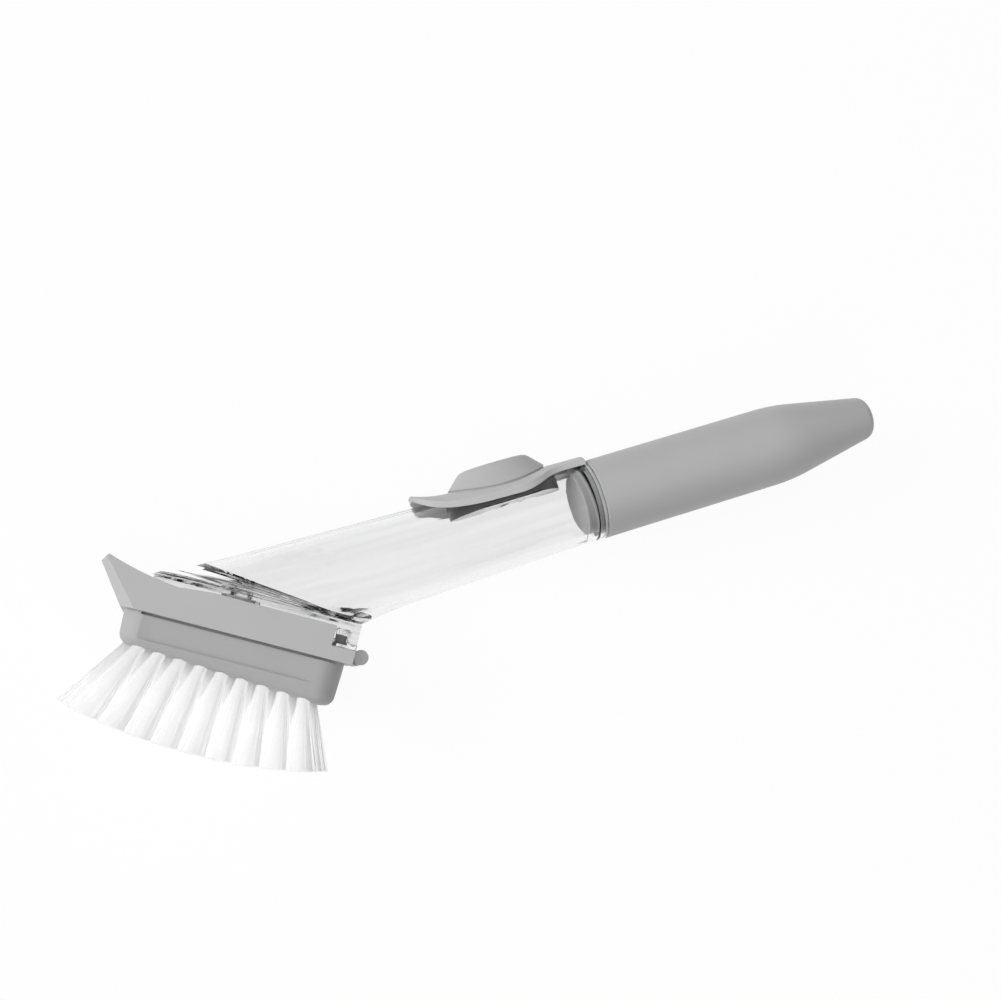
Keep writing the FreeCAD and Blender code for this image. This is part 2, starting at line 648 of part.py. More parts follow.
def make_saddle():
    """The thin saddle on the tube, with an opening for the pad and a flared front lip."""
    lip = "(saddle_front - lip_length)"
    seat_front = f"{tube_radius('saddle_front')} + saddle_seat"
    seat_lip = f"{tube_radius(lip)} + saddle_seat"
    seat_rear = "handle_radius + saddle_seat"
    profile = outline("saddle_profile", [
        ("-saddle_rear", seat_rear),
        ("-saddle_rear", f"{seat_rear} + saddle_thickness"),
        (f"-{lip}", f"{seat_lip} + saddle_thickness"),
        ("-saddle_front", f"{seat_front} + saddle_thickness + lip_rise", "lip_round", -1),
        ("-saddle_front", f"{seat_front} + saddle_thickness + lip_rise - lip_thickness"),
        (f"-{lip}", seat_lip, "lip_round", 1),
    ])
    plan = outline("saddle_plan", mirrored(saddle_side()), UPRIGHT)
    stem = prism("saddle_stem", plan, Vector(0, 1, 0), "0", "pad_top + saddle_thickness")
    opening = oval_prism("saddle_opening", "pad_half_length + pad_gap", "pad_half_width + pad_gap",
                         "0", "pad_top + saddle_thickness")
    blank = common("saddle_blank", lathe("saddle_turned", profile), stem)
    return named(cut("saddle", blank, opening), "button_bezel")


def make_button():
    """The loaf-shaped thumb pad with its skirt, hollow below."""
    skirt = oval_prism("pad_skirt", "pad_half_length", "pad_half_width", "pad_bottom", "pad_base")
    crown = doc.addObject("Part::Loft", "pad_crown")
    crown.Sections = [
        oval("pad_base_oval", "pad_half_length", "pad_half_width", "pad_base"),
        oval("pad_top_oval", "pad_top_half_length", "pad_top_half_width", "pad_top"),
    ]
    crown.Solid = True
    crown.Ruled = True
    hollow = oval_prism("pad_hollow", "pad_top_half_length + pad_wall", "pad_half_width - pad_wall",
                        f"pad_bottom - {OVERCUT}", "pad_base + pad_wall")
    solid = fuse("pad_solid", skirt, crown)
    top = size_of("pad_top")
    rounded = round_edges("pad_rounded", solid, size_of("pad_round"),
                          lambda edge: edge.BoundBox.YMin > top - NEAR)
    return named(cut("pad", rounded, hollow), "thumb_button")


def make_bellows():
    """The silicone air bellows under the pad."""
    floor, top = "well_floor", "(pad_base + pad_wall - bellows_gap)"
    can = rod("bellows_can", "y", "bellows_radius", floor, top, x="-pad_place")
    rim = rod("bellows_rim_disc", "y", "bellows_rim", floor, f"{floor} + bellows_ring_height",
              x="-pad_place")
    hollow = rod("bellows_hollow", "y", "bellows_radius - bellows_wall", f"{floor} - {OVERCUT}",
                 f"{top} - bellows_wall", x="-pad_place")
    return named(cut("bellows", fuse("bellows_solid", can, rim), hollow), "pump_bellows")


def make_bellows_ring():
    """The ring that clamps the bellows' rim."""
    low = "(well_floor + bellows_ring_height)"
    disc = rod("ring_disc", "y", "bellows_rim", low, f"{low} + bellows_ring_height", x="-pad_place")
    hole = rod("ring_hole", "y", "bellows_radius + glue_gap", f"{low} - {OVERCUT}",
               f"{low} + bellows_ring_height + {OVERCUT}", x="-pad_place")
    return named(cut("ring", disc, hole), "bellows_ring")


def make_carrier():
    """The head's channel: scraper prow, side walls with slide lips, floor with the latch slot."""
    profile = outline("carrier_profile", [
        ("-prow_foot", "-carrier_bottom"),
        ("floor_rear", "-carrier_bottom"),
        ("floor_rear", "-foot_depth - slide_gap"),
        ("wall_rear", "-foot_depth - slide_gap"),
        ("wall_rear", "-wall_top"),
        ("prow_join", "-wall_top"),
        ("-prow_back", "-wall_top - prow_dip"),
        ("prow_edge - prow_reach", "-prow_high", "prow_hollow", -1),
        ("-prow_reach", "-prow_low"),
    ])
    solid = prism("carrier_solid", profile, Vector(0, 0, 1), "-carrier_half", "carrier_half")
    bevels = []
    rise = "(carrier_bottom / (carrier_bottom - prow_low))"
    for word, share in (("foot", "0"), ("top", rise)):
        front = f"(-prow_foot - {share} * (prow_reach - prow_foot))"
        left = f"(1 - {share} * prow_narrowing)"
        bevel = outline(f"carrier_bevel_{word}", mirrored([
            (f"{front} + prow_bevel * {left}", "carrier_half"),
            ("2 * floor_rear", "carrier_half"),
        ])[::-1] + [
            (front, f"carrier_half - prow_bevel_side * {left}"),
            (front, f"prow_bevel_side * {left} - carrier_half"),
        ], UPRIGHT)
        bind(bevel, y=f"({share} / {rise} - 1) * carrier_bottom")
        bevels.append(bevel)
    leaning = doc.addObject("Part::Loft", "carrier_lean")
    leaning.Sections = bevels
    leaning.Solid = True
    leaning.Ruled = True
    narrow = "(foot_half + slide_gap)"
    wide = "(foot_half + rail_reach + slide_gap)"
    floor = "-foot_depth - slide_gap"
    lip_low = "rail_height + slide_gap - foot_depth"
    slot = box("carrier_slot", ("foot_nose", FAR), (floor, FAR), (f"-{narrow}", narrow))
    nose = rod("carrier_nose", "y", narrow, floor, FAR, x="foot_nose")
    rails = box("carrier_rail_slot", ("foot_nose - slide_gap", FAR), (floor, lip_low), (f"-{wide}", wide))
    tongue = box("carrier_latch_slot", ("latch_root - latch_gap", FAR),
                 (f"-carrier_bottom - {OVERCUT}", "-foot_depth"),
                 ("-latch_half - latch_gap", "latch_half + latch_gap"))
    soap = rod("carrier_soap_hole", "y", "soap_radius", f"-carrier_bottom - {OVERCUT}", OVERCUT,
               x="outlet_place")
    blank = common("carrier_blank", solid, leaning)
    hollows = fuse("carrier_hollows", slot, nose, rails, tongue, soap)
    return named(in_head_frame(cut("carrier", blank, hollows)), "head_carrier")


def make_latch():
    """The spring tongue with the round bead at its end."""
    low = "-latch_top - latch_thickness"
    tongue = box("latch_tongue", ("latch_root", "bead_place"), (low, "-latch_top"),
                 ("-latch_half", "latch_half"))
    bead = rod("latch_bead", "z", "bead_radius", "-bead_half", "bead_half", x="bead_place",
               y="-bead_depth")
    return named(in_head_frame(fuse("latch", tongue, bead)), "release_latch")


def tuft_lines():
    """Roots and directions of the tufts, in the head frame, a list per row."""
    middle, pitch = size_of("tuft_middle"), size_of("tuft_pitch")
    front_depth, front = size_of("block_low_front"), size_of("block_front")
    slope = (size_of("block_low_rear") - front_depth) / (size_of("block_rear") + front)
    half_span = pitch * (max(TUFT_COUNTS) - 1) / 2
    outlet, passage = size_of("outlet_place"), size_of("soap_radius") + 2 * size_of("tuft_radius")
    rows = []
    for row, count in enumerate(TUFT_COUNTS):
        across = row - (len(TUFT_COUNTS) - 1) / 2
        side = across * size_of("tuft_row_gap")
        sway = math.radians(size_of("fan_side")) * across / ((len(TUFT_COUNTS) - 1) / 2)
        lines = []
        for number in range(count):
            along = middle + pitch * (number - (count - 1) / 2)
            if math.hypot(along - outlet, side) < passage:
                continue
            share = (along - middle + half_span) / (2 * half_span)
            lean = size_of("fan_front") + share * (size_of("fan_rear") - size_of("fan_front"))
            angle = math.radians(lean)
            way = Vector(-math.sin(angle), -math.cos(angle), math.sin(sway)).normalize()
            lines.append((Vector(along, -front_depth - slope * (along + front), side), way))
        rows.append(lines)
    return rows


def tuft_reach(root, way):
    """The free length from a root to the trimmed tips' arc."""
    radius = size_of("trim_radius")
    centre = Vector(size_of("tuft_middle"), radius - size_of("trim_depth"), 0)
    flat_way = Vector(way.x, way.y, 0)
    offset = Vector(root.x, root.y, 0) - centre
    slant = offset.dot(flat_way)
    spare = offset.Length ** 2 - radius ** 2
    return (math.sqrt(slant ** 2 - flat_way.Length ** 2 * spare) - slant) / flat_way.Length ** 2


def head_placement():
    """The head frame's place and tilt."""
    return Placement(Vector(-size_of("tank_length"), size_of("head_rise"), 0),
                     Rotation(Vector(0, 0, -1), size_of("head_tilt")))


def solid_group(name, solids, placement):
    """A feature that holds worked-out solids."""
    item = doc.addObject("Part::Feature", name)
    item.Shape = Part.makeCompound(solids)
    item.Placement = placement
    return item


def make_block():
    """The bristle block: rounded, wedge-shaped, with tuft holes and sunk side panels."""
    form = box("block_form", ("-block_front", "block_rear"), ("-2 * block_low_rear", "-carrier_bottom"),
               ("-block_half", "block_half"))
    upright = round_edges(
        "block_corners", form, size_of("block_corner"),
        lambda edge: edge.BoundBox.XLength < NEAR and edge.BoundBox.ZLength < NEAR)
    wedge_side = outline("block_side", [
        ("-block_front", "-carrier_bottom"),
        ("block_draft - block_front", "-block_low_front"),
        ("block_rear - block_draft", "-block_low_rear"),
        ("block_rear", "-carrier_bottom"),
    ])
    wedge = prism("block_wedge", wedge_side, Vector(0, 0, 1), f"-{FAR}", FAR)
    blank = common("block_blank", upright, wedge)
    shallow = -size_of("block_low_front") + size_of("block_round")
    rounded = round_edges("block_rounded", blank, size_of("block_round"),
                          lambda edge: edge.BoundBox.YMax < shallow)
    panels = []
    for side, word in ((1, ""), (-1, "-")):
        sketch = outline(f"panel_plan_{side + 1}", [
            ("-panel_front", f"{word}block_half"),
            ("-panel_front + panel_ramp", f"{word}(block_half - panel_sink)"),
            ("panel_rear - panel_ramp", f"{word}(block_half - panel_sink)"),
            ("panel_rear", f"{word}block_half"),
            ("panel_rear", f"{word}2 * block_half"),
            ("-panel_front", f"{word}2 * block_half"),
        ], UPRIGHT)
        panels.append(prism(f"panel_{side + 1}", sketch, Vector(0, -1, 0), "carrier_bottom", "panel_low"))
        span = ("block_half - panel_sink - seam_depth", FAR)
        if side < 0:
            span = (f"-{FAR}", "panel_sink + seam_depth - block_half")
        panels.append(box(f"seam_groove_{side + 1}", ("-panel_front", FAR),
                          ("-carrier_bottom - seam_height", "-carrier_bottom"), span))
    relief = box("block_latch_relief", ("latch_root - 2 * latch_gap", FAR),
                 ("-carrier_bottom - latch_relief", "0"),
                 ("-latch_half - 2 * latch_gap", "latch_half + 2 * latch_gap"))
    soap = rod("block_soap_hole", "y", "soap_radius", f"-{FAR}", "0", x="outlet_place")
    depth, radius = size_of("tuft_hole"), size_of("tuft_radius") + size_of("tuft_gap")
    holes = []
    for root, way in sum(tuft_lines(), []):
        holes.append(Part.makeCylinder(radius, 2 * depth, root - way * depth, way))
    tufts = solid_group("tuft_holes", holes, Placement())
    return named(in_head_frame(cut("block", rounded, *panels, relief, soap, tufts)), "bristle_block")


def make_tufts():
    """A node of flared tufts for each row."""
    radius, tip = size_of("tuft_radius"), size_of("tuft_tip_radius")
    inner = size_of("tuft_hole") - size_of("anchor_height") - 2 * size_of("anchor_gap")
    collar = size_of("tuft_collar")
    rows = []
    for number, lines in enumerate(tuft_lines(), 1):
        tufts = []
        for root, way in lines:
            reach = tuft_reach(root, way)
            stem = Part.makeCylinder(radius, inner + collar, root - way * inner, way)
            brush = Part.makeCone(radius, tip, reach - collar, root + way * collar, way)
            tufts.append(stem.fuse(brush).removeSplitter())
        rows.append(solid_group(f"tuft_row_{number}", tufts, head_placement()))
    return rows


def make_anchors():
    """The metal staples at the bottoms of the tuft holes."""
    width, height = size_of("anchor_width"), size_of("anchor_height")
    thick, gap = size_of("anchor_thickness"), size_of("anchor_gap")
    staples = []
    for root, way in sum(tuft_lines(), []):
        staple = Part.makeBox(width, thick, height, Vector(-width / 2, -thick / 2, 0))
        base = root - way * (size_of("tuft_hole") - gap)
        staple.Placement = Placement(base, Rotation(Vector(0, 0, 1), way))
        staples.append(staple)
    return solid_group("tuft_anchors", staples, head_placement())


def export(items):
    """Writes each sub-part's shape after checking the document."""
    failed = [item.Label for item in doc.Objects if {"Invalid", "Error"} & set(item.State)]
    if failed:
        raise RuntimeError(f"failed objects: {failed}")
    os.makedirs("parts", exist_ok=True)
    for item in items:
        shape = item.Shape
        if shape.isNull() or not shape.isValid():
            raise RuntimeError(f"bad shape: {item.Label}")
        shape.exportStep(f"parts/{item.Label}.step")
        print(f"{item.Label}: {len(shape.Solids)} solids, {shape.Volume:.1f} mm3")


def main():
    """Builds every sub-part and writes it."""
    items = [
        make_handle(), make_plug(), make_gasket(), make_tank(), make_foot(), make_valve(),
        make_retainer(), make_saddle(), make_button(), make_bellows(), make_bellows_ring(),
        make_carrier(), make_latch(), make_block(), *make_tufts(), make_anchors(),
    ]
    doc.recompute()
    export(items)


main()
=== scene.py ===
"""Looks of the dish wand: finishes, bristles, rounded plastic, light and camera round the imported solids.

Everything is in metres in the part's own frame: X along the handle towards its tail, Y to the thumb pad,
Z up from the surface that the wand lies on. The head has a frame of its own, tilted about Z.
"""
import logging
import math
import random
from collections.abc import Callable
from dataclasses import dataclass
from enum import Enum

import bmesh
import bpy
from mathutils import Euler, Matrix, Vector


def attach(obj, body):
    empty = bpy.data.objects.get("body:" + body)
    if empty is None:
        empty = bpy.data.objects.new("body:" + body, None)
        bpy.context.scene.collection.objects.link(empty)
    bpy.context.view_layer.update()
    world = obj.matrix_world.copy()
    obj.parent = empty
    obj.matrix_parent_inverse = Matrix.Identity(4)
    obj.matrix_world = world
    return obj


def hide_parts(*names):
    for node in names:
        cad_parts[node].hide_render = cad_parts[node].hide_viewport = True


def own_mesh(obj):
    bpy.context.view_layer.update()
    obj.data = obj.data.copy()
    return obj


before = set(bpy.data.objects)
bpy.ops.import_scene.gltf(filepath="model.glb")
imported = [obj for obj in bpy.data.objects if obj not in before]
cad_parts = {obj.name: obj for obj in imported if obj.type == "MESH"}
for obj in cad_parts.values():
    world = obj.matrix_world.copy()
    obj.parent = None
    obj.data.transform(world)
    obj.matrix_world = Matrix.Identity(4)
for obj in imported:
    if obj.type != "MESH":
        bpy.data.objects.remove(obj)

MM = 0.001
HEAD_ORIGIN = (-138.6 * MM, 16.1 * MM, 0)
HEAD_TILT = math.radians(-32.0)
HEAD = Matrix.Translation(HEAD_ORIGIN) @ Matrix.Rotation(HEAD_TILT, 4, "Z")
SAME_POINT = 0.002 * MM
SAME_PLANE = math.radians(0.3)
SHARP_ANGLE = 35.0
GOLDEN_ANGLE = math.pi * (3 - math.sqrt(5))
LOG = logging.getLogger("dish_wand")


class Body(Enum):
    """The bodies that pieces move with."""

    TANK = "tank"
    PAD = "thumb_button"
    GASKET = "neck_gasket"
    HANDLE = "handle"
    HEAD = "brush_head"
    LATCH = "release_latch"


class Slot(Enum):
    """The record's material slots."""

    GREY = "grey_plastic"
    CLEAR = "clear_plastic"
    SILICONE = "silicone"
    NYLON = "nylon"
    STEEL = "anchor_metal"


class Wire:
    """A shader socket that Python's operators work on."""

    def __init__(self, graph: "Graph", socket: bpy.types.NodeSocket | None) -> None:
        """Keeps the graph and the socket."""
        self.graph = graph
        self.socket = socket

    def maths(self, operation: str, left: object, right: object) -> "Wire":
        """Adds a Math node on two values, each a number or a wire."""
        return self.graph.node("ShaderNodeMath", {"operation": operation}, {0: left, 1: right})

    def __add__(self, other: object) -> "Wire":
        """self + other."""
        return self.maths("ADD", self, other)

    def __radd__(self, other: object) -> "Wire":
        """other + self."""
        return self.maths("ADD", other, self)

    def __mul__(self, other: object) -> "Wire":
        """self * other."""
        return self.maths("MULTIPLY", self, other)

    def __rmul__(self, other: object) -> "Wire":
        """other * self."""
        return self.maths("MULTIPLY", other, self)

    def __truediv__(self, other: object) -> "Wire":
        """self / other."""
        return self.maths("DIVIDE", self, other)

    def __pow__(self, other: object) -> "Wire":
        """self to the power of other."""
        return self.maths("POWER", self, other)

    def __or__(self, other: object) -> "Wire":
        """The larger of self and other."""
        return self.maths("MAXIMUM", self, other)


class Graph:
    """The nodes of a material or of the world."""

    def __init__(self, tree: bpy.types.NodeTree) -> None:
        """Starts with an empty tree."""
        self.tree = tree
        tree.nodes.clear()

    def node(self, kind: str, settings: dict | None = None, inputs: dict | None = None,
             output: int | str = 0) -> Wire:
        """Adds a node.

        Args:
            kind: the node's type.
            settings: properties that are set first; "stops" fills a colour ramp.
            inputs: socket names or numbers with their values or wires.
            output: the socket that is handed back.

        Returns:
            The chosen output.
        """
        item = self.tree.nodes.new(kind)
        for name, value in (settings or {}).items():
            if name == "stops":
                self.fill_ramp(item, value)
            else:
                setattr(item, name, value)
        for name, value in (inputs or {}).items():
            if isinstance(value, Wire):
                self.tree.links.new(value.socket, item.inputs[name])
            else:
                item.inputs[name].default_value = value
        if not item.outputs:
            return Wire(self, None)
        return Wire(self, item.outputs[output])

    @staticmethod
    def fill_ramp(item: bpy.types.Node, stops: tuple) -> None:
        """Sets a colour ramp's grey stops.

        Args:
            item: the ramp node.
            stops: pairs of place and grey value.
        """
        ramp = item.color_ramp
        while len(ramp.elements) < len(stops):
            ramp.elements.new(1.0)
        for element, (place, tone) in zip(ramp.elements, stops):
            element.position = place
            element.color = grey(tone)

    def place(self) -> Wire:
        """Object coordinates."""
        return self.node("ShaderNodeTexCoord", output="Object")

    def axis(self, where: Wire, name: str) -> Wire:
        """One of the coordinates X, Y and Z."""
        return self.node("ShaderNodeSeparateXYZ", inputs={0: where}, output=name)

    def ray(self, kind: str) -> Wire:
        """1 for rays of a kind that Light Path knows, otherwise 0."""
        return self.node("ShaderNodeLightPath", output=kind)

    def ramp(self, share: Wire, stops: tuple) -> Wire:
        """Greys between stops, which are pairs of place and grey value."""
        return self.node("ShaderNodeValToRGB", {"stops": stops}, {"Fac": share})

    def noise(self, where: Wire, scale: float, detail: float = 2.0, stretch: tuple | None = None) -> Wire:
        """Noise between 0 and 1.

        Args:
            where: the coordinates.
            scale: cells per metre.
            detail: octaves.
            stretch: scale factors along the axes.

        Returns:
            The noise's value.
        """
        if stretch is not None:
            where = self.node("ShaderNodeMapping", inputs={"Vector": where, "Scale": stretch})
        return self.node("ShaderNodeTexNoise", inputs={"Vector": where, "Scale": scale, "Detail": detail})

    def blend(self, share: Wire, low: tuple, high: tuple) -> Wire:
        """A colour between two: a share of 0 gives low, 1 gives high."""
        return self.node("ShaderNodeMix", {"data_type": "RGBA"}, {0: share, 6: low, 7: high}, output=2)

    def bump(self, height: Wire, depth: float) -> Wire:
        """A bumped normal from heights between 0 and 1, which lie depth metres apart."""
        return self.node("ShaderNodeBump", inputs={"Height": height, "Distance": depth})

    def shade(self, **inputs: object) -> Wire:
        """A Principled shader; underscores in the names stand for spaces."""
        return self.node("ShaderNodeBsdfPrincipled",
                         inputs={name.replace("_", " "): value for name, value in inputs.items()})

    def mix(self, share: float | Wire, first: Wire, second: Wire) -> Wire:
        """A mix of two shaders: a share of 0 gives the first, 1 the second."""
        return self.node("ShaderNodeMixShader", inputs={0: share, 1: first, 2: second})


def grey(value: float) -> tuple[float, float, float, float]:
    """A neutral colour."""
    return (value, value, value, 1.0)


WHITE = grey(1.0)


@dataclass(frozen=True)
class Finish:
    """A surface finish with its own material."""

    name: str
    slot: Slot | None
    shadows: bool = True

    def shader(self, graph: Graph) -> Wire:
        """The finish's shader."""
        raise NotImplementedError

    def inside(self, graph: Graph) -> Wire | None:
        """What fills the piece; most finishes are skin alone."""
        return None

    def material(self) -> bpy.types.Material:
        """Makes the finish's material once.

        Returns:
            The material.
        """
        made = bpy.data.materials.get(self.name)
        if made is not None:
            return made
        made = bpy.data.materials.new(self.name)
        made.use_nodes = True
        graph = Graph(made.node_tree)
        sockets = {"Surface": self.shader(graph), "Volume": self.inside(graph)}
        graph.node("ShaderNodeOutputMaterial", inputs={n: w for n, w in sockets.items() if w is not None})
        return made

    def dress(self, piece: bpy.types.Object) -> None:
        """Gives a piece this finish alone.

        Args:
            piece: the piece.
        """
        piece.data.materials.clear()
        piece.data.materials.append(self.material())
        piece.visible_shadow = self.shadows


@dataclass(frozen=True)
class SatinPlastic(Finish):
    """Moulded grey plastic with a fine spark-eroded grain."""

    tone: float = 0.42
    cloud_scale: float = 55.0
    cloud_detail: float = 3.0
    cloud_share: float = 0.035
    smear_scale: float = 240.0
    smear_stretch: tuple = (0.35, 1.0, 1.0)
    grain_scale: float = 2600.0
    grain_depth: float = 0.012 * MM
    roughness: float = 0.37
    smear_roughness: float = 0.06
    grain_roughness: float = 0.04
    refraction: float = 1.46

    def shader(self, graph: Graph) -> Wire:
        """Cloudy grey, uneven sheen and a fine grain.

        Args:
            graph: the material's nodes.

        Returns:
            The shader.
        """
        where = graph.place()
        cloud = graph.noise(where, self.cloud_scale, self.cloud_detail)
        smear = graph.noise(where, self.smear_scale, stretch=self.smear_stretch)
        pores = graph.noise(where, self.grain_scale)
        dull, light = self.tone * (1 - self.cloud_share), self.tone * (1 + self.cloud_share)
        sheen = self.roughness + self.smear_roughness * smear + self.grain_roughness * pores
        return graph.shade(Base_Color=graph.blend(cloud, grey(dull), grey(light)), Roughness=sheen,
                           IOR=self.refraction, Normal=graph.bump(pores, self.grain_depth))


@dataclass(frozen=True)
class ClearPlastic(Finish):
    """Clear polished plastic with faint flow lines along the mould."""

    shadows: bool = False
    tint: tuple = WHITE
    shade_tint: tuple = (0.94, 0.94, 0.945, 1.0)
    depth_tint: float = 0.6
    depth_density: float = 20.0
    turn: float = 0.0
    flow: tuple = (0.035, 1.0, 1.0)
    flow_scale: float = 260.0
    flow_detail: float = 1.0
    flow_depth: float = 0.005 * MM
    streaks: tuple = ((0.38, 0.0), (0.66, 1.0))
    haze_scale: float = 90.0
    haze_detail: float = 3.0
    roughness: float = 0.01
    haze_roughness: float = 0.03
    refraction: float = 1.49

    def shader(self, graph: Graph) -> Wire:
        """A refracting shader whose surface and tint waver a little along the flow.

        Args:
            graph: the material's nodes.

        Returns:
            The shader.
        """
        where = graph.node("ShaderNodeVectorRotate", {"rotation_type": "Z_AXIS"},
                           {"Vector": graph.place(), "Angle": self.turn})
        lines = graph.noise(where, self.flow_scale, self.flow_detail, self.flow)
        haze = graph.noise(where, self.haze_scale, self.haze_detail)
        colour = graph.blend(graph.ramp(lines, self.streaks), self.tint, self.shade_tint)
        return graph.shade(Base_Color=colour, Roughness=self.roughness + self.haze_roughness * haze,
                           IOR=self.refraction, Transmission_Weight=1.0,
                           Normal=graph.bump(lines, self.flow_depth))

    def inside(self, graph: Graph) -> Wire:
        """Plastic that darkens with the way that light goes through it."""
        return graph.node("ShaderNodeVolumeAbsorption",
                          inputs={"Color": grey(self.depth_tint), "Density": self.depth_density})


@dataclass(frozen=True)
class SoftSilicone(Finish):
    """Milky silicone rubber."""

    dull_tone: float = 0.60
    light_tone: float = 0.68
    dust_scale: float = 900.0
    dust_detail: float = 3.0
    dust_depth: float = 0.01 * MM
    roughness: float = 0.5
    dust_roughness: float = 0.15
    milk_share: float = 0.25
    milk_depth: float = 2.0 * MM
    milk_spread: tuple = (1.0, 1.0, 1.0)

    def shader(self, graph: Graph) -> Wire:
        """Soft, slightly dusty grey.

        Args:
            graph: the material's nodes.

        Returns:
            The shader.
        """
        dust = graph.noise(graph.place(), self.dust_scale, self.dust_detail)
        colour = graph.blend(dust, grey(self.dull_tone), grey(self.light_tone))
        return graph.shade(Base_Color=colour, Roughness=self.roughness + self.dust_roughness * dust,
                           Subsurface_Weight=self.milk_share, Subsurface_Radius=self.milk_spread,
                           Subsurface_Scale=self.milk_depth, Normal=graph.bump(dust, self.dust_depth))


@dataclass(frozen=True)
class NylonFilament(Finish):
    """White drawn nylon with painted shade towards the roots."""

    shadows: bool = False
    core_share: float = 0.2
    # Tone at the roots, darkened by painted shade, and how much it lifts further out.
    painted_root_tone: float = 0.73
    painted_shade_lift: float = 0.075
    spread: float = 0.05
    spread_scale: float = 1400.0
    spread_detail: float = 1.0
    root_depth: float = -29.0 * MM
    painted_shade_end: float = -44.0 * MM
    roughness: float = 0.38
    spread_roughness: float = 0.12
    refraction: float = 1.53

    def painted_shade_fade(self, graph: Graph, where: Wire) -> Wire:
        """The painted root shade's fade: 0 at the block, where it is darkest, and 1 further out, where it
        ends.

        Args:
            graph: the material's nodes.
            where: the piece's coordinates.

        Returns:
            The share.
        """
        per_along, per_across, _, start = HEAD.inverted()[1]
        depth = graph.axis(where, "X") * per_along + graph.axis(where, "Y") * per_across + start
        return graph.node("ShaderNodeMapRange", inputs={"Value": depth, "From Min": self.root_depth,
                                                        "From Max": self.painted_shade_end})

    def shader(self, graph: Graph) -> Wire:
        """Slightly translucent white with painted shade towards the roots, a little uneven from filament to
        filament.

        Args:
            graph: the material's nodes.

        Returns:
            The shader.
        """
        where = graph.place()
        shade = graph.noise(where, self.spread_scale, self.spread_detail)
        # Painted shade: the nylon darkens towards the block, where shade falls among the roots.
        colour = self.painted_root_tone + self.painted_shade_lift * self.painted_shade_fade(graph, where) + self.spread * shade
        skin = graph.shade(Base_Color=colour, Roughness=self.roughness + self.spread_roughness * shade,
                           IOR=self.refraction)
        core = graph.node("ShaderNodeBsdfTranslucent", inputs={"Color": colour})
        return graph.mix(self.core_share, skin, core)


@dataclass(frozen=True)
class StapleSteel(Finish):
    """Bright drawn steel wire."""

    dull_tone: float = 0.52
    light_tone: float = 0.66
    line_scale: float = 5000.0
    line_stretch: tuple = (1.0, 0.1, 1.0)
    roughness: float = 0.28
    line_roughness: float = 0.15

    def shader(self, graph: Graph) -> Wire:
        """Metal with fine drawing lines.

        Args:
            graph: the material's nodes.

        Returns:
            The shader.
        """
        lines = graph.noise(graph.place(), self.line_scale, stretch=self.line_stretch)
        colour = graph.blend(lines, grey(self.dull_tone), grey(self.light_tone))
        return graph.shade(Base_Color=colour, Metallic=1.0,
                           Roughness=self.roughness + self.line_roughness * lines)


@dataclass(frozen=True)
class FloorFinish(Finish):
    """Plain white floor that the camera sees as white, with a painted pool of light that clear and glossy
    pieces see.
    """

    tone: float = 0.8
    dust_scale: float = 30.0
    dust_gain: float = 0.02
    roughness: float = 0.8
    glow_share: float = 0.94
    pool_middle: float = 0.04
    pool_slimness: float = 0.3
    pool_reach: float = 0.4
    pool_stops: tuple = ((0.2, 0.98), (0.36, 0.74), (0.6, 0.45), (1.0, 0.35))

    def shader(self, graph: Graph) -> Wire:
        """White paint, with a glow for the rays that show the background.

        Args:
            graph: the material's nodes.

        Returns:
            The shader.
        """
        where = graph.place()
        dust = graph.noise(where, self.dust_scale)
        colour = graph.blend(dust, grey(self.tone), grey(self.tone + self.dust_gain))
        paint = graph.shade(Base_Color=colour, Roughness=self.roughness)
        glow = graph.node("ShaderNodeEmission", inputs={"Color": WHITE})
        # A painted pool of light, seen only by glossy and clear rays.
        pool = graph.node("ShaderNodeEmission", inputs={"Color": self.pool(graph, where)})
        plain = graph.mix(graph.ray("Is Camera Ray") * self.glow_share, paint, glow)
        return graph.mix(graph.ray("Is Glossy Ray") | graph.ray("Is Transmission Ray"), plain, pool)

    def pool(self, graph: Graph, where: Wire) -> Wire:
        """The floor's painted pool of light as clear and glossy pieces see it: white under the wand and
        dimmer away from it.

        Args:
            graph: the material's nodes.
            where: the floor's coordinates.

        Returns:
            The colour.
        """
        along = (graph.axis(where, "X") + self.pool_middle) * self.pool_slimness
        across = graph.axis(where, "Y")
        far = (along * along + across * across) ** 0.5 / self.pool_reach
        return graph.ramp(far, self.pool_stops)


GREY = SatinPlastic("satin_grey", Slot.GREY)
# Dark grey of the plates that paint the shade inside the foot's windows.
WINDOW_SHADE_GREY = SatinPlastic("satin_grey_window_painted_shade", Slot.GREY, tone=0.19)
# Dark grey of the sleeve that paints the shade under the saddle.
SHADE_SLEEVE_GREY = SatinPlastic("satin_grey_painted_shade_sleeve", Slot.GREY, tone=0.16)
# The plug's lighter grey is painted light where it lies in shade inside the tube.
PLUG_GREY_PAINTED_LIGHT = SatinPlastic("satin_grey_plug_painted_light", Slot.GREY, tone=0.5)
# The saddle's lighter grey is painted light where the pad shades it.
SADDLE_GREY_PAINTED_LIGHT = SatinPlastic("satin_grey_saddle_painted_light", Slot.GREY, tone=0.47)
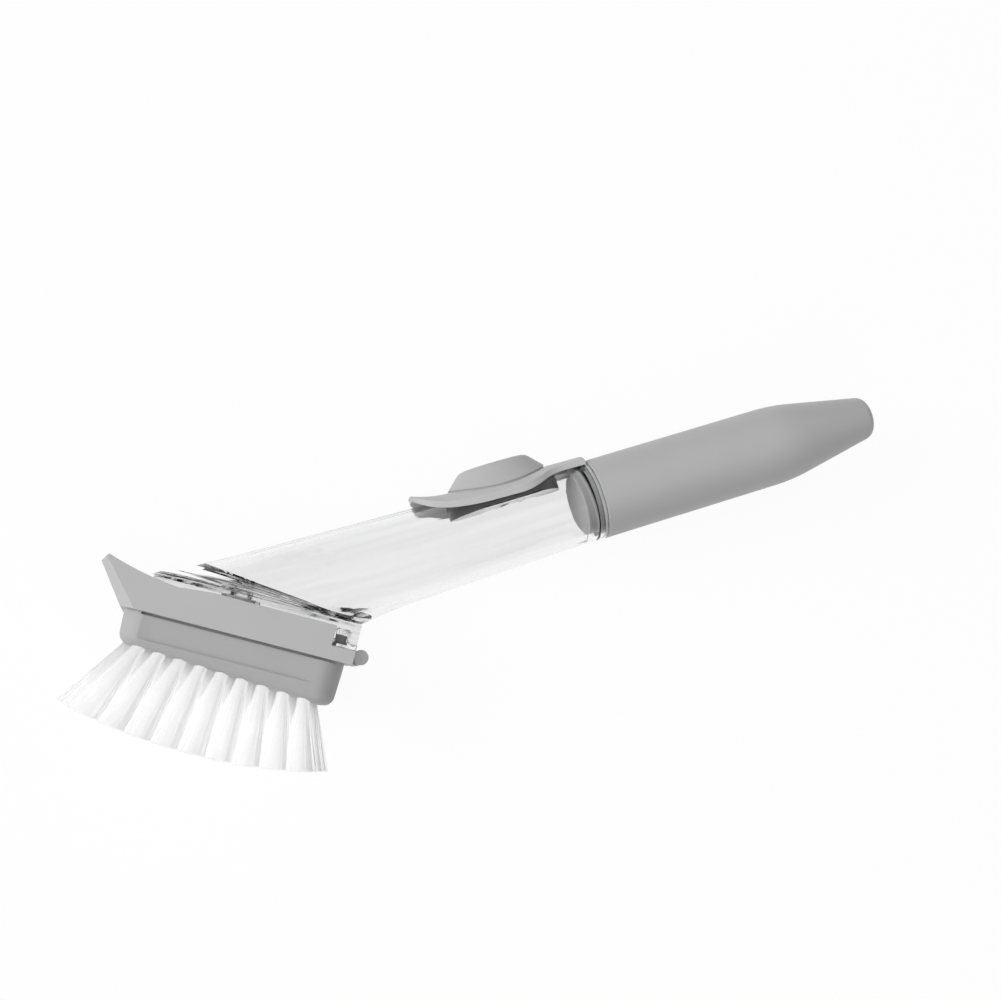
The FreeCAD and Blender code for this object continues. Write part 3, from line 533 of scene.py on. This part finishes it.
# The block's darker grey is painted shade under the carrier's overhang.
BLOCK_GREY_PAINTED_SHADE = SatinPlastic("satin_grey_block_painted_shade", Slot.GREY, tone=0.358)
CLEAR = ClearPlastic("clear_shell", Slot.CLEAR)
CLEAR_FOOT = ClearPlastic("clear_foot_shell", Slot.CLEAR, shade_tint=(0.86, 0.86, 0.865, 1.0),
                          depth_density=12.0, turn=-HEAD_TILT, flow=(0.014, 1.0, 0.3), flow_scale=1300.0,
                          flow_detail=3.0, flow_depth=0.05 * MM, streaks=((0.48, 0.0), (0.6, 1.0)))
SILICONE = SoftSilicone("milky_silicone", Slot.SILICONE)
NYLON = NylonFilament("white_nylon", Slot.NYLON)
# The inner rows: the same nylon with deeper painted shade at the roots.
INNER_NYLON_PAINTED_SHADE = NylonFilament("white_nylon_inner_painted_shade", Slot.NYLON, painted_root_tone=0.65, painted_shade_lift=0.13)
STEEL = StapleSteel("staple_steel", Slot.STEEL)
FLOOR = FloorFinish("white_floor", None)


@dataclass(frozen=True)
class Taper:
    """A round outline about the handle's axis: its radius at the origin and what it loses per metre."""

    radius: float
    flare: float

    def height(self, along: float, across: float) -> float:
        """The height of its upper face over a place along and a place across."""
        return math.sqrt((self.radius - self.flare * along) ** 2 - across ** 2)


TUBE = Taper(13.51 * MM, 0.0281)
SADDLE = Taper(15.85 * MM, 0.0182)


def new_object(name: str, bm: bmesh.types.BMesh, crease: float = SHARP_ANGLE) -> bpy.types.Object:
    """Turns a bmesh into a smooth-shaded object in the scene.

    Args:
        name: the object's name.
        bm: its mesh, which is freed.
        crease: edges sharper than this angle in degrees stay sharp.

    Returns:
        The object.
    """
    mesh = bpy.data.meshes.new(name)
    bm.to_mesh(mesh)
    bm.free()
    mesh.shade_smooth()
    mesh.set_sharp_from_angle(angle=math.radians(crease))
    piece = bpy.data.objects.new(name, mesh)
    bpy.context.scene.collection.objects.link(piece)
    return piece


def bridge(bm: bmesh.types.BMesh, rims: list, closed: bool = False) -> None:
    """Joins neighbouring rims with faces.

    Args:
        bm: the mesh.
        rims: loops of vertices, from first to last.
        closed: whether the last rim is joined to the first; otherwise both get a cap.
    """
    loops = [sorted({e for v in rim for e in v.link_edges}, key=lambda e: e.index) for rim in rims]
    pairs = list(zip(loops, loops[1:]))
    if closed:
        pairs.append((loops[-1], loops[0]))
    for low, high in pairs:
        bmesh.ops.bridge_loops(bm, edges=low + high)
    if not closed:
        for loop in (loops[0], loops[-1]):
            bmesh.ops.edgeloop_fill(bm, edges=[e for e in loop if e.is_boundary])
    bmesh.ops.recalc_face_normals(bm, faces=bm.faces)


def round_edges(bm: bmesh.types.BMesh, edges: list, radius: float, segments: int) -> None:
    """Rounds edges by a radius, with a number of faces across each rounding."""
    bmesh.ops.bevel(bm, geom=edges, offset=radius, offset_type="OFFSET", segments=segments, profile=0.5,
                    affect="EDGES", material=-1, clamp_overlap=True)


def put(piece: bpy.types.Object, finish: Finish, body: Body, *nodes: str) -> bpy.types.Object:
    """Dresses a piece, lets it ride on a body and stand for CAD nodes.

    Args:
        piece: the piece.
        finish: its finish.
        body: the body that it moves with.
        nodes: the CAD nodes that it stands for.

    Returns:
        The piece.
    """
    finish.dress(piece)
    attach(piece, body.value)
    if nodes:
        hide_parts(*nodes)
    LOG.info("%s: %d faces on %s", piece.name, len(piece.data.polygons), body.value)
    return piece


def rounded_copy(name: str, node: str, radius: float = 0.0, segments: int = 3) -> bpy.types.Object:
    """A copy of a CAD node with its sharp edges rounded.

    Args:
        name: the piece's name.
        node: the CAD node.
        radius: the rounding in metres; 0 leaves the edges sharp.
        segments: faces across a rounding.

    Returns:
        The piece.
    """
    bm = bmesh.new()
    bm.from_mesh(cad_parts[node].data)
    bmesh.ops.remove_doubles(bm, verts=bm.verts, dist=SAME_POINT)
    bmesh.ops.dissolve_limit(bm, angle_limit=SAME_PLANE, verts=bm.verts, edges=bm.edges)
    if radius > 0:
        limit = math.radians(SHARP_ANGLE)
        sharp = [e for e in bm.edges if len(e.link_faces) == 2 and e.calc_face_angle(0.0) > limit]
        round_edges(bm, sharp, radius, segments)
    piece = new_object(name, bm)
    keep = piece.modifiers.new("flat_faces", "WEIGHTED_NORMAL")
    keep.keep_sharp = True
    return piece


@dataclass
class Handle:
    """The screw-on handle with its plug and gasket."""

    grip_round: float = 0.3 * MM
    plug_round: float = 0.25 * MM
    gasket_round: float = 0.2 * MM

    def build(self) -> None:
        """Dresses the handle's pieces."""
        put(rounded_copy("grip", "handle_shell", self.grip_round), GREY, Body.HANDLE, "handle_shell")
        put(rounded_copy("neck_plug", "handle_plug", self.plug_round), PLUG_GREY_PAINTED_LIGHT, Body.HANDLE, "handle_plug")
        put(rounded_copy("gasket_ring", "neck_gasket", self.gasket_round), SILICONE, Body.GASKET,
            "neck_gasket")


@dataclass
class Tank:
    """The clear tank with its foot and valve.

    Each of the weld's rims has its way outside the tube in millimetres and its share of the weld's height.
    """

    tube_round: float = 0.25 * MM
    foot_round: float = 0.4 * MM
    valve_round: float = 0.1 * MM
    ring_round: float = 0.2 * MM
    shade_low: tuple = (49.4 * MM, -12.1 * MM, 16.0 * MM)
    shade_high: tuple = (53.2 * MM, -9.0 * MM, 16.38 * MM)
    shade_round: float = 0.1 * MM
    shade_segments: int = 2
    weld_bottom: float = -4.3 * MM
    weld_top: float = 1.9 * MM
    weld_fall: float = 0.086
    weld_rims: tuple = ((0.05, 0.0), (1.5, 0.0), (1.5, 0.2), (1.2, 0.25), (1.2, 0.38), (1.4, 0.42),
                        (1.3, 0.58), (1.0, 0.62), (0.95, 0.76), (0.6, 0.8), (0.5, 0.95), (0.3, 1.0),
                        (0.05, 1.0))
    weld_sides: int = 160
    weld_crease: float = 40.0
    heel_rise: float = 3.4 * MM
    heel_thinning: float = 0.6
    heel_narrowness: float = 5.0

    def build(self) -> None:
        """Dresses the tank's pieces."""
        put(rounded_copy("clear_tube", "tank_shell", self.tube_round), CLEAR, Body.TANK, "tank_shell")
        put(rounded_copy("clear_foot", "foot_plate", self.foot_round), CLEAR_FOOT, Body.TANK, "foot_plate")
        put(rounded_copy("slit_valve", "outlet_valve", self.valve_round), SILICONE, Body.TANK, "outlet_valve")
        put(rounded_copy("valve_ring", "valve_retainer", self.ring_round), GREY, Body.TANK, "valve_retainer")
        # A dark plate paints the shade inside each window.
        put(self.window_painted_shade(), WINDOW_SHADE_GREY, Body.TANK)
        put(self.weld(), CLEAR_FOOT, Body.TANK)

    def weld(self) -> bpy.types.Object:
        """The stepped clear collar where the tube's slanted end is welded to the foot.

        Returns:
            The piece.
        """
        bm = bmesh.new()
        into_head = HEAD.inverted()
        rims = []
        for outside, share in self.weld_rims:
            per_along, per_up, _, start = into_head[1] + into_head[0] * (self.weld_fall * share)
            height = self.weld_bottom + (self.weld_top - self.weld_bottom) * share
            rim = bmesh.ops.create_circle(bm, segments=self.weld_sides, radius=1.0)["verts"]
            for corner in rim:
                up, across = corner.co.x, corner.co.y
                heel = max(-up, 0.0) ** self.heel_narrowness * share
                radius = TUBE.radius + outside * MM * (1 - self.heel_thinning * heel)
                tilt = per_along - per_up * up * TUBE.flare
                along = (height + self.heel_rise * heel - start - per_up * up * radius) / tilt
                radius -= TUBE.flare * along
                corner.co = (along, up * radius, across * radius)
            rims.append(rim)
        bridge(bm, rims, closed=True)
        return new_object("weld_collar", bm, self.weld_crease)

    def window_painted_shade(self) -> bpy.types.Object:
        """A thin dark plate behind the lower part of each window of the foot's skirt: painted shade in the
        window.

        Returns:
            The piece.
        """
        bm = bmesh.new()
        low, high = Vector(self.shade_low), Vector(self.shade_high)
        for side in (1, -1):
            plate = bmesh.ops.create_cube(bm, size=1.0)["verts"]
            bmesh.ops.scale(bm, vec=high - low, verts=plate)
            bmesh.ops.translate(bm, vec=(low + high) / 2, verts=plate)
            bmesh.ops.scale(bm, vec=(1, 1, side), verts=plate)
        bmesh.ops.recalc_face_normals(bm, faces=bm.faces)
        round_edges(bm, list(bm.edges), self.shade_round, self.shade_segments)
        bmesh.ops.transform(bm, matrix=HEAD, verts=bm.verts)
        return new_object("window_painted_shade", bm)


@dataclass
class ThumbPump:
    """The thumb pad, its saddle and the bellows below."""

    saddle_round: float = 0.45 * MM
    bellows_round: float = 0.2 * MM
    clamp_round: float = 0.15 * MM
    place: float = -31.2 * MM
    half_length: float = 17.6 * MM
    half_width: float = 9.0 * MM
    top_half_length: float = 12.2 * MM
    top_half_width: float = 5.6 * MM
    top: float = 22.2 * MM
    bottom: float = 12.6 * MM
    ceiling: float = 18.4 * MM
    inner_half_length: float = 14.0 * MM
    inner_half_width: float = 7.2 * MM
    undercut: float = 0.35 * MM
    reveal: float = 0.5 * MM
    slope_end: float = 0.8
    slope_steps: int = 4
    bend_steps: int = 6
    shoulder: float = 0.84
    crown: float = 0.3 * MM
    sides: int = 96
    crease: float = 50.0
    well_floor: float = 9.35 * MM
    shade_sleeve_outside: float = 0.9 * MM
    shade_sleeve_wall: float = 0.45 * MM
    shade_sleeve_bottom: float = 7.5 * MM
    shade_sleeve_sunk: float = 0.15 * MM
    bellows_keep: float = 0.7

    def ring(self, bm: bmesh.types.BMesh, length: float, width: float,
             height: Callable[[float, float], float]) -> list:
        """Adds an oval rim over the pad's place.

        Args:
            bm: the mesh.
            length: half the oval's length.
            width: half the oval's width.
            height: gives the height over a place along and a place across.

        Returns:
            The rim's corners.
        """
        rim = bmesh.ops.create_circle(bm, segments=self.sides, radius=1.0)["verts"]
        for corner in rim:
            along, across = self.place + length * corner.co.x, width * corner.co.y
            corner.co = (along, height(along, across), across)
        return rim

    def profile(self) -> list[tuple[float, float, float]]:
        """The pad's side as shares of its foot, its upper edge and its crown, from the foot upwards.

        Returns:
            The shares of each rim: a straight slope, then a bend.
        """
        shares = []
        for step in range(self.slope_steps):
            risen = step / self.slope_steps * self.slope_end
            shares.append((1 - risen, risen, 0.0))
        for step in range(self.bend_steps + 1):
            share = step / self.bend_steps
            start = (1 - share) ** 2
            shares.append((start * (1 - self.slope_end), start * self.slope_end + 2 * share * (1 - share),
                           share ** 2))
        return shares

    def pad(self) -> bpy.types.Object:
        """The loaf-shaped pad: one slope from a shadow gap over the saddle to a soft top.

        Returns:
            The piece.
        """
        bm = bmesh.new()
        rims = []
        for height in (self.ceiling, self.bottom):
            rims.append(self.ring(bm, self.inner_half_length, self.inner_half_width, lambda x, z: height))
        skirt = (self.half_length - self.undercut, self.half_width - self.undercut)
        rims.append(self.ring(bm, *skirt, lambda x, z: self.bottom))
        rims.append(self.ring(bm, *skirt, lambda x, z: SADDLE.height(x, z) + self.reveal))
        for base, edge, inner in self.profile():
            inner_edge = edge + inner * self.shoulder
            rims.append(self.ring(
                bm, base * self.half_length + inner_edge * self.top_half_length,
                base * self.half_width + inner_edge * self.top_half_width,
                lambda x, z: base * (SADDLE.height(x, z) + self.reveal) + (1 - base) * self.top
                + inner * self.crown / 2))
        rims.append(self.ring(bm, self.top_half_length / 2, self.top_half_width / 2,
                              lambda x, z: self.top + self.crown))
        bridge(bm, rims)
        return new_object("thumb_pad", bm, self.crease)

    def painted_shade_sleeve(self) -> bpy.types.Object:
        """A dark grey sleeve in the wall of the pump's well, which paints the shade under the saddle.

        Returns:
            The piece.
        """
        bm = bmesh.new()
        rims = []
        for inset, lid in ((0.0, False), (0.0, True), (self.shade_sleeve_wall, True), (self.shade_sleeve_wall, False)):
            outside = self.shade_sleeve_outside - inset
            rims.append(self.ring(
                bm, self.half_length + outside, self.half_width + outside,
                lambda x, z: TUBE.height(x, z) - self.shade_sleeve_sunk if lid else self.shade_sleeve_bottom))
        bridge(bm, rims, closed=True)
        return new_object("well_painted_shade_sleeve", bm, self.crease)

    def build(self) -> None:
        """Dresses the pump's pieces."""
        put(rounded_copy("saddle", "button_bezel", self.saddle_round), SADDLE_GREY_PAINTED_LIGHT, Body.TANK, "button_bezel")
        put(self.pad(), GREY, Body.PAD, "thumb_button")
        # A dark sleeve paints the shade under the saddle.
        put(self.painted_shade_sleeve(), SHADE_SLEEVE_GREY, Body.TANK)
        bellows = rounded_copy("air_bellows", "pump_bellows", self.bellows_round)
        put(bellows, SILICONE, Body.TANK, "pump_bellows")
        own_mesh(bellows)
        put(rounded_copy("bellows_clamp", "bellows_ring", self.clamp_round), GREY, Body.TANK, "bellows_ring")


@dataclass
class BrushHead:
    """The slide-on head: carrier, block, latch and staples."""

    carrier_round: float = 0.4 * MM
    block_round: float = 0.3 * MM
    latch_round: float = 0.5 * MM

    def build(self) -> None:
        """Dresses the head's pieces."""
        put(rounded_copy("carrier", "head_carrier", self.carrier_round), GREY, Body.HEAD, "head_carrier")
        put(rounded_copy("block", "bristle_block", self.block_round), BLOCK_GREY_PAINTED_SHADE, Body.HEAD, "bristle_block")
        put(rounded_copy("latch", "release_latch", self.latch_round), GREY, Body.LATCH, "release_latch")
        put(rounded_copy("staples", "tuft_anchors"), STEEL, Body.HEAD, "tuft_anchors")


@dataclass(frozen=True)
class Tuft:
    """One bundle of filaments: its root, its way, its free length and its splay to the sides."""

    root: Vector
    way: Vector
    reach: float
    side_radius: float

    def sides(self) -> tuple[Vector, Vector]:
        """Two directions square to the tuft and to each other."""
        across = self.way.cross(Vector((0, 0, 1))).normalized()
        return across, self.way.cross(across)


@dataclass
class Bristles:
    """The rows of tufts, filament by filament; the fan's angles are in degrees."""

    counts: tuple = (9, 10, 9, 10, 9)
    pitch: float = 6.8 * MM
    row_gap: float = 8.5 * MM
    middle: float = 17.3 * MM
    front_depth: float = 28.6 * MM
    rear_depth: float = 32.6 * MM
    block_front: float = 17.6 * MM
    block_rear: float = 54.8 * MM
    outlet: float = 17.0 * MM
    outlet_clear: float = 8.7 * MM
    fan_front: float = 24.2
    fan_rear: float = -12.6
    fan_side: float = 4.0
    trim_depth: float = 57.4 * MM
    trim_radius: float = 180.0 * MM
    sunk: float = 3.0 * MM
    collar: float = 1.6 * MM
    root_radius: float = 2.0 * MM
    tip_radius: float = 6.3 * MM
    tip_side_radius: float = 4.0 * MM
    inner_side_radius: float = 6.0 * MM
    filament: float = 0.14 * MM
    per_tuft: int = 240
    inner_share: float = 0.62
    inner_start: float = 0.72
    core_share: float = 0.96
    core_sides: int = 18
    sides: int = 3
    stations: tuple = (0.0, 0.25, 0.5, 0.75, 1.0)
    core_sunk: float = 0.02
    uneven: float = 0.12 * MM
    stray: float = 0.2 * MM
    crease: float = 80.0

    def tufts(self, row: int) -> list[Tuft]:
        """The tufts of a row.

        Args:
            row: the row's number, from 0.

        Returns:
            Its tufts, from front to rear, in the head's frame.
        """
        slope = (self.rear_depth - self.front_depth) / (self.block_rear + self.block_front)
        half_span = self.pitch * (max(self.counts) - 1) / 2
        half_rows = (len(self.counts) - 1) / 2
        across = row - half_rows
        side = across * self.row_gap
        sway = math.radians(self.fan_side) * across / half_rows
        splay = self.tip_side_radius if abs(across) == half_rows else self.inner_side_radius
        found = []
        for number in range(self.counts[row]):
            along = self.middle + self.pitch * (number - (self.counts[row] - 1) / 2)
            if math.hypot(along - self.outlet, side) < self.outlet_clear:
                continue
            share = (along - self.middle + half_span) / (2 * half_span)
            lean = math.radians(self.fan_front + share * (self.fan_rear - self.fan_front))
            way = Vector((-math.sin(lean), -math.cos(lean), math.sin(sway))).normalized()
            root = Vector((along, -self.front_depth - slope * (along + self.block_front), side))
            found.append(Tuft(root, way, self.reach(root, way), splay))
        return found

    def reach(self, root: Vector, way: Vector) -> float:
        """The free length from a root to the arc that the tips are trimmed to.

        Args:
            root: where the line starts, in the head's frame.
            way: its direction, of length 1.

        Returns:
            The length.
        """
        centre = Vector((self.middle, self.trim_radius - self.trim_depth))
        flat = way.xy
        offset = root.xy - centre
        slant = offset.dot(flat)
        spare = offset.length_squared - self.trim_radius ** 2
        return (math.sqrt(slant ** 2 - flat.length_squared * spare) - slant) / flat.length_squared

    def template(self) -> bpy.types.Mesh:
        """A filament with a ring of corners at each whole height, closed at its tip.

        Returns:
            The mesh.
        """
        bm = bmesh.new()
        bmesh.ops.create_circle(bm, segments=self.sides, radius=1.0, cap_ends=False)
        rim = list(bm.edges)
        for _ in self.stations:
            grown = bmesh.ops.extrude_edge_only(bm, edges=rim)["geom"]
            top = [v for v in grown if isinstance(v, bmesh.types.BMVert)]
            bmesh.ops.translate(bm, vec=(0, 0, 1), verts=top)
            rim = [e for e in grown if isinstance(e, bmesh.types.BMEdge) and all(v in top for v in e.verts)]
        bmesh.ops.edgeloop_fill(bm, edges=rim)
        bmesh.ops.recalc_face_normals(bm, faces=bm.faces)
        mesh = bpy.data.meshes.new("filament")
        bm.to_mesh(mesh)
        bm.free()
        return mesh

    def along(self, tuft: Tuft, spoke: Vector, share: float) -> Vector:
        """A point on one of a tuft's straight lines.

        Args:
            tuft: the tuft.
            spoke: the line's place across the tuft, of length 1 at its skin.
            share: 0 at the collar and 1 at the trimmed tip; less than 0 gives the sunk end.

        Returns:
            The point in the head's frame.
        """
        start = tuft.root + spoke * self.root_radius
        if share < 0:
            return start - tuft.way * self.sunk
        start = start + tuft.way * self.collar
        flare = spoke * (self.tip_radius - self.root_radius)
        flare.z *= (tuft.side_radius - self.root_radius) / (self.tip_radius - self.root_radius)
        way = (tuft.way * (tuft.reach - self.collar) + flare).normalized()
        return start + way * (self.reach(start, way) * share)

    def core(self, bm: bmesh.types.BMesh, tuft: Tuft) -> None:
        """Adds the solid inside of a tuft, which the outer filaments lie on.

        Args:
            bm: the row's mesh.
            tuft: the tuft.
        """
        across, beside = tuft.sides()
        rims = []
        for share in (-1.0, *self.stations):
            ring = bmesh.ops.create_circle(bm, segments=self.core_sides, radius=self.core_share)["verts"]
            for vert in ring:
                spoke = across * vert.co.x + beside * vert.co.y
                vert.co = self.along(tuft, spoke, share - self.core_sunk * (share == 1.0))
            rims.append(ring)
        bridge(bm, rims)

    def grow(self, bm: bmesh.types.BMesh, template: bpy.types.Mesh, tuft: Tuft, dice: random.Random) -> None:
        """Adds a tuft's filaments to a row.

        Args:
            bm: the row's mesh.
            template: one filament.
            tuft: the tuft.
            dice: the source of unevenness.
        """
        across, beside = tuft.sides()
        for number in range(self.per_tuft):
            ring = math.sqrt((number + 0.5) / self.per_tuft)
            turn = number * GOLDEN_ANGLE
            spoke = (across * math.cos(turn) + beside * math.sin(turn)) * ring
            drift = (across * dice.gauss(0, 1) + beside * dice.gauss(0, 1)) * self.stray
            cut = 1.0 - abs(dice.gauss(0, 1)) * self.uneven / tuft.reach
            start = 0.0 if ring > self.inner_share else self.inner_start
            before = len(bm.verts)
            bm.from_mesh(template)
            bm.verts.ensure_lookup_table()
            for vert in bm.verts[before:]:
                level = round(vert.co.z)
                share = start + (cut - start) * self.stations[max(level - 1, 0)]
                if level == 0 and start == 0.0:
                    share = -1.0
                bend = drift * max(share, 0.0) ** 2
                width = (across * vert.co.x + beside * vert.co.y) * self.filament
                vert.co = self.along(tuft, spoke, share) + bend + width

    def build(self) -> None:
        """Makes a piece of filaments for each row."""
        template = self.template()
        for row in range(len(self.counts)):
            dice = random.Random(row + 1)
            bm = bmesh.new()
            for tuft in self.tufts(row):
                bundle = bmesh.new()
                self.core(bundle, tuft)
                self.grow(bundle, template, tuft, dice)
                mesh = bpy.data.meshes.new("bundle")
                bundle.to_mesh(mesh)
                bundle.free()
                bm.from_mesh(mesh)
                bpy.data.meshes.remove(mesh)
            bmesh.ops.transform(bm, matrix=HEAD, verts=bm.verts)
            piece = new_object(f"bristles_{row + 1}", bm, self.crease)
            inner = 0 < row < len(self.counts) - 1
            # Inner rows get the nylon with deeper painted shade.
            put(piece, INNER_NYLON_PAINTED_SHADE if inner else NYLON, Body.HEAD, f"tuft_row_{row + 1}")
        bpy.data.meshes.remove(template)


@dataclass(frozen=True)
class Lamp:
    """A square area lamp that looks at a point, and that no piece mirrors or shows through.

    Its size is its side in metres and its power is in watts.
    """

    name: str
    place: tuple
    aim: tuple
    size: float
    power: float

    def build(self) -> None:
        """Puts the lamp into the scene."""
        data = bpy.data.lights.new(self.name, "AREA")
        data.shape = "SQUARE"
        data.size = self.size
        data.energy = self.power
        item = bpy.data.objects.new(self.name, data)
        item.location = self.place
        item.rotation_euler = (Vector(self.aim) - Vector(self.place)).to_track_quat("-Z", "Y").to_euler()
        item.visible_glossy = False
        item.visible_transmission = False
        bpy.context.scene.collection.objects.link(item)


@dataclass
class Studio:
    """Floor, lamps, world and camera; the camera's turn is in degrees."""

    floor_height: float = -23.4 * MM
    floor_half: float = 1.6
    camera_place: tuple = (-0.158939, -0.019813, 0.536651)
    camera_turn: tuple = (6.91226, -11.78006, -17.82781)
    lens: float = 57.522
    sensor: float = 36.0
    nearest: float = 0.01
    sky_stops: tuple = ((0.0, 0.16), (0.35, 0.18), (1.0, 0.32))
    lamps: tuple = (Lamp("key", (-1.4, 0.8, 0.85), (-0.1, 0, 0), 1.2, 23.5),
                    Lamp("fill", (-0.12, 0.2, 1.6), (-0.04, 0, 0), 1.4, 11.8),
                    Lamp("front", (-0.6, -1.05, 0.9), (-0.1, 0, 0), 1.0, 5.0))
    bounces: int = 24
    diffuse_bounces: int = 16

    def floor(self) -> None:
        """A plain white floor below the wand."""
        bm = bmesh.new()
        bmesh.ops.create_grid(bm, x_segments=2, y_segments=2, size=self.floor_half)
        bmesh.ops.translate(bm, vec=(0, 0, self.floor_height), verts=bm.verts)
        piece = new_object("floor", bm)
        FLOOR.dress(piece)

    def camera(self) -> None:
        """The camera at the photograph's place."""
        data = bpy.data.cameras.new("camera")
        data.lens = self.lens
        data.sensor_width = self.sensor
        data.clip_start = self.nearest
        item = bpy.data.objects.new("camera", data)
        item.location = self.camera_place
        item.rotation_euler = Euler([math.radians(a) for a in self.camera_turn])
        bpy.context.scene.collection.objects.link(item)
        bpy.context.scene.camera = item

    def world(self) -> None:
        """Soft light from all round, white where the camera sees it."""
        world = bpy.data.worlds.new("studio")
        bpy.context.scene.world = world
        world.use_nodes = True
        graph = Graph(world.node_tree)
        white = graph.node("ShaderNodeBackground", inputs={"Color": WHITE})
        upwards = graph.axis(graph.node("ShaderNodeTexCoord", output="Generated"), "Z")
        soft = graph.node("ShaderNodeBackground", inputs={"Color": graph.ramp(upwards, self.sky_stops)})
        mixed = graph.mix(graph.ray("Is Camera Ray"), soft, white)
        graph.node("ShaderNodeOutputWorld", inputs={"Surface": mixed})

    def build(self) -> None:
        """Sets up the studio."""
        scene = bpy.context.scene
        scene.view_settings.view_transform = "Standard"
        scene.cycles.max_bounces = self.bounces
        scene.cycles.diffuse_bounces = self.diffuse_bounces
        scene.cycles.transmission_bounces = self.bounces
        self.floor()
        self.world()
        for lamp in self.lamps:
            lamp.build()
        self.camera()


def main() -> None:
    """Builds every piece and reports it."""
    logging.basicConfig(level=logging.INFO, format="%(message)s")
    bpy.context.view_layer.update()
    for part in (Handle(), Tank(), ThumbPump(), BrushHead(), Bristles()):
        part.build()
    Studio().build()


if __name__ == "__main__":
    main()
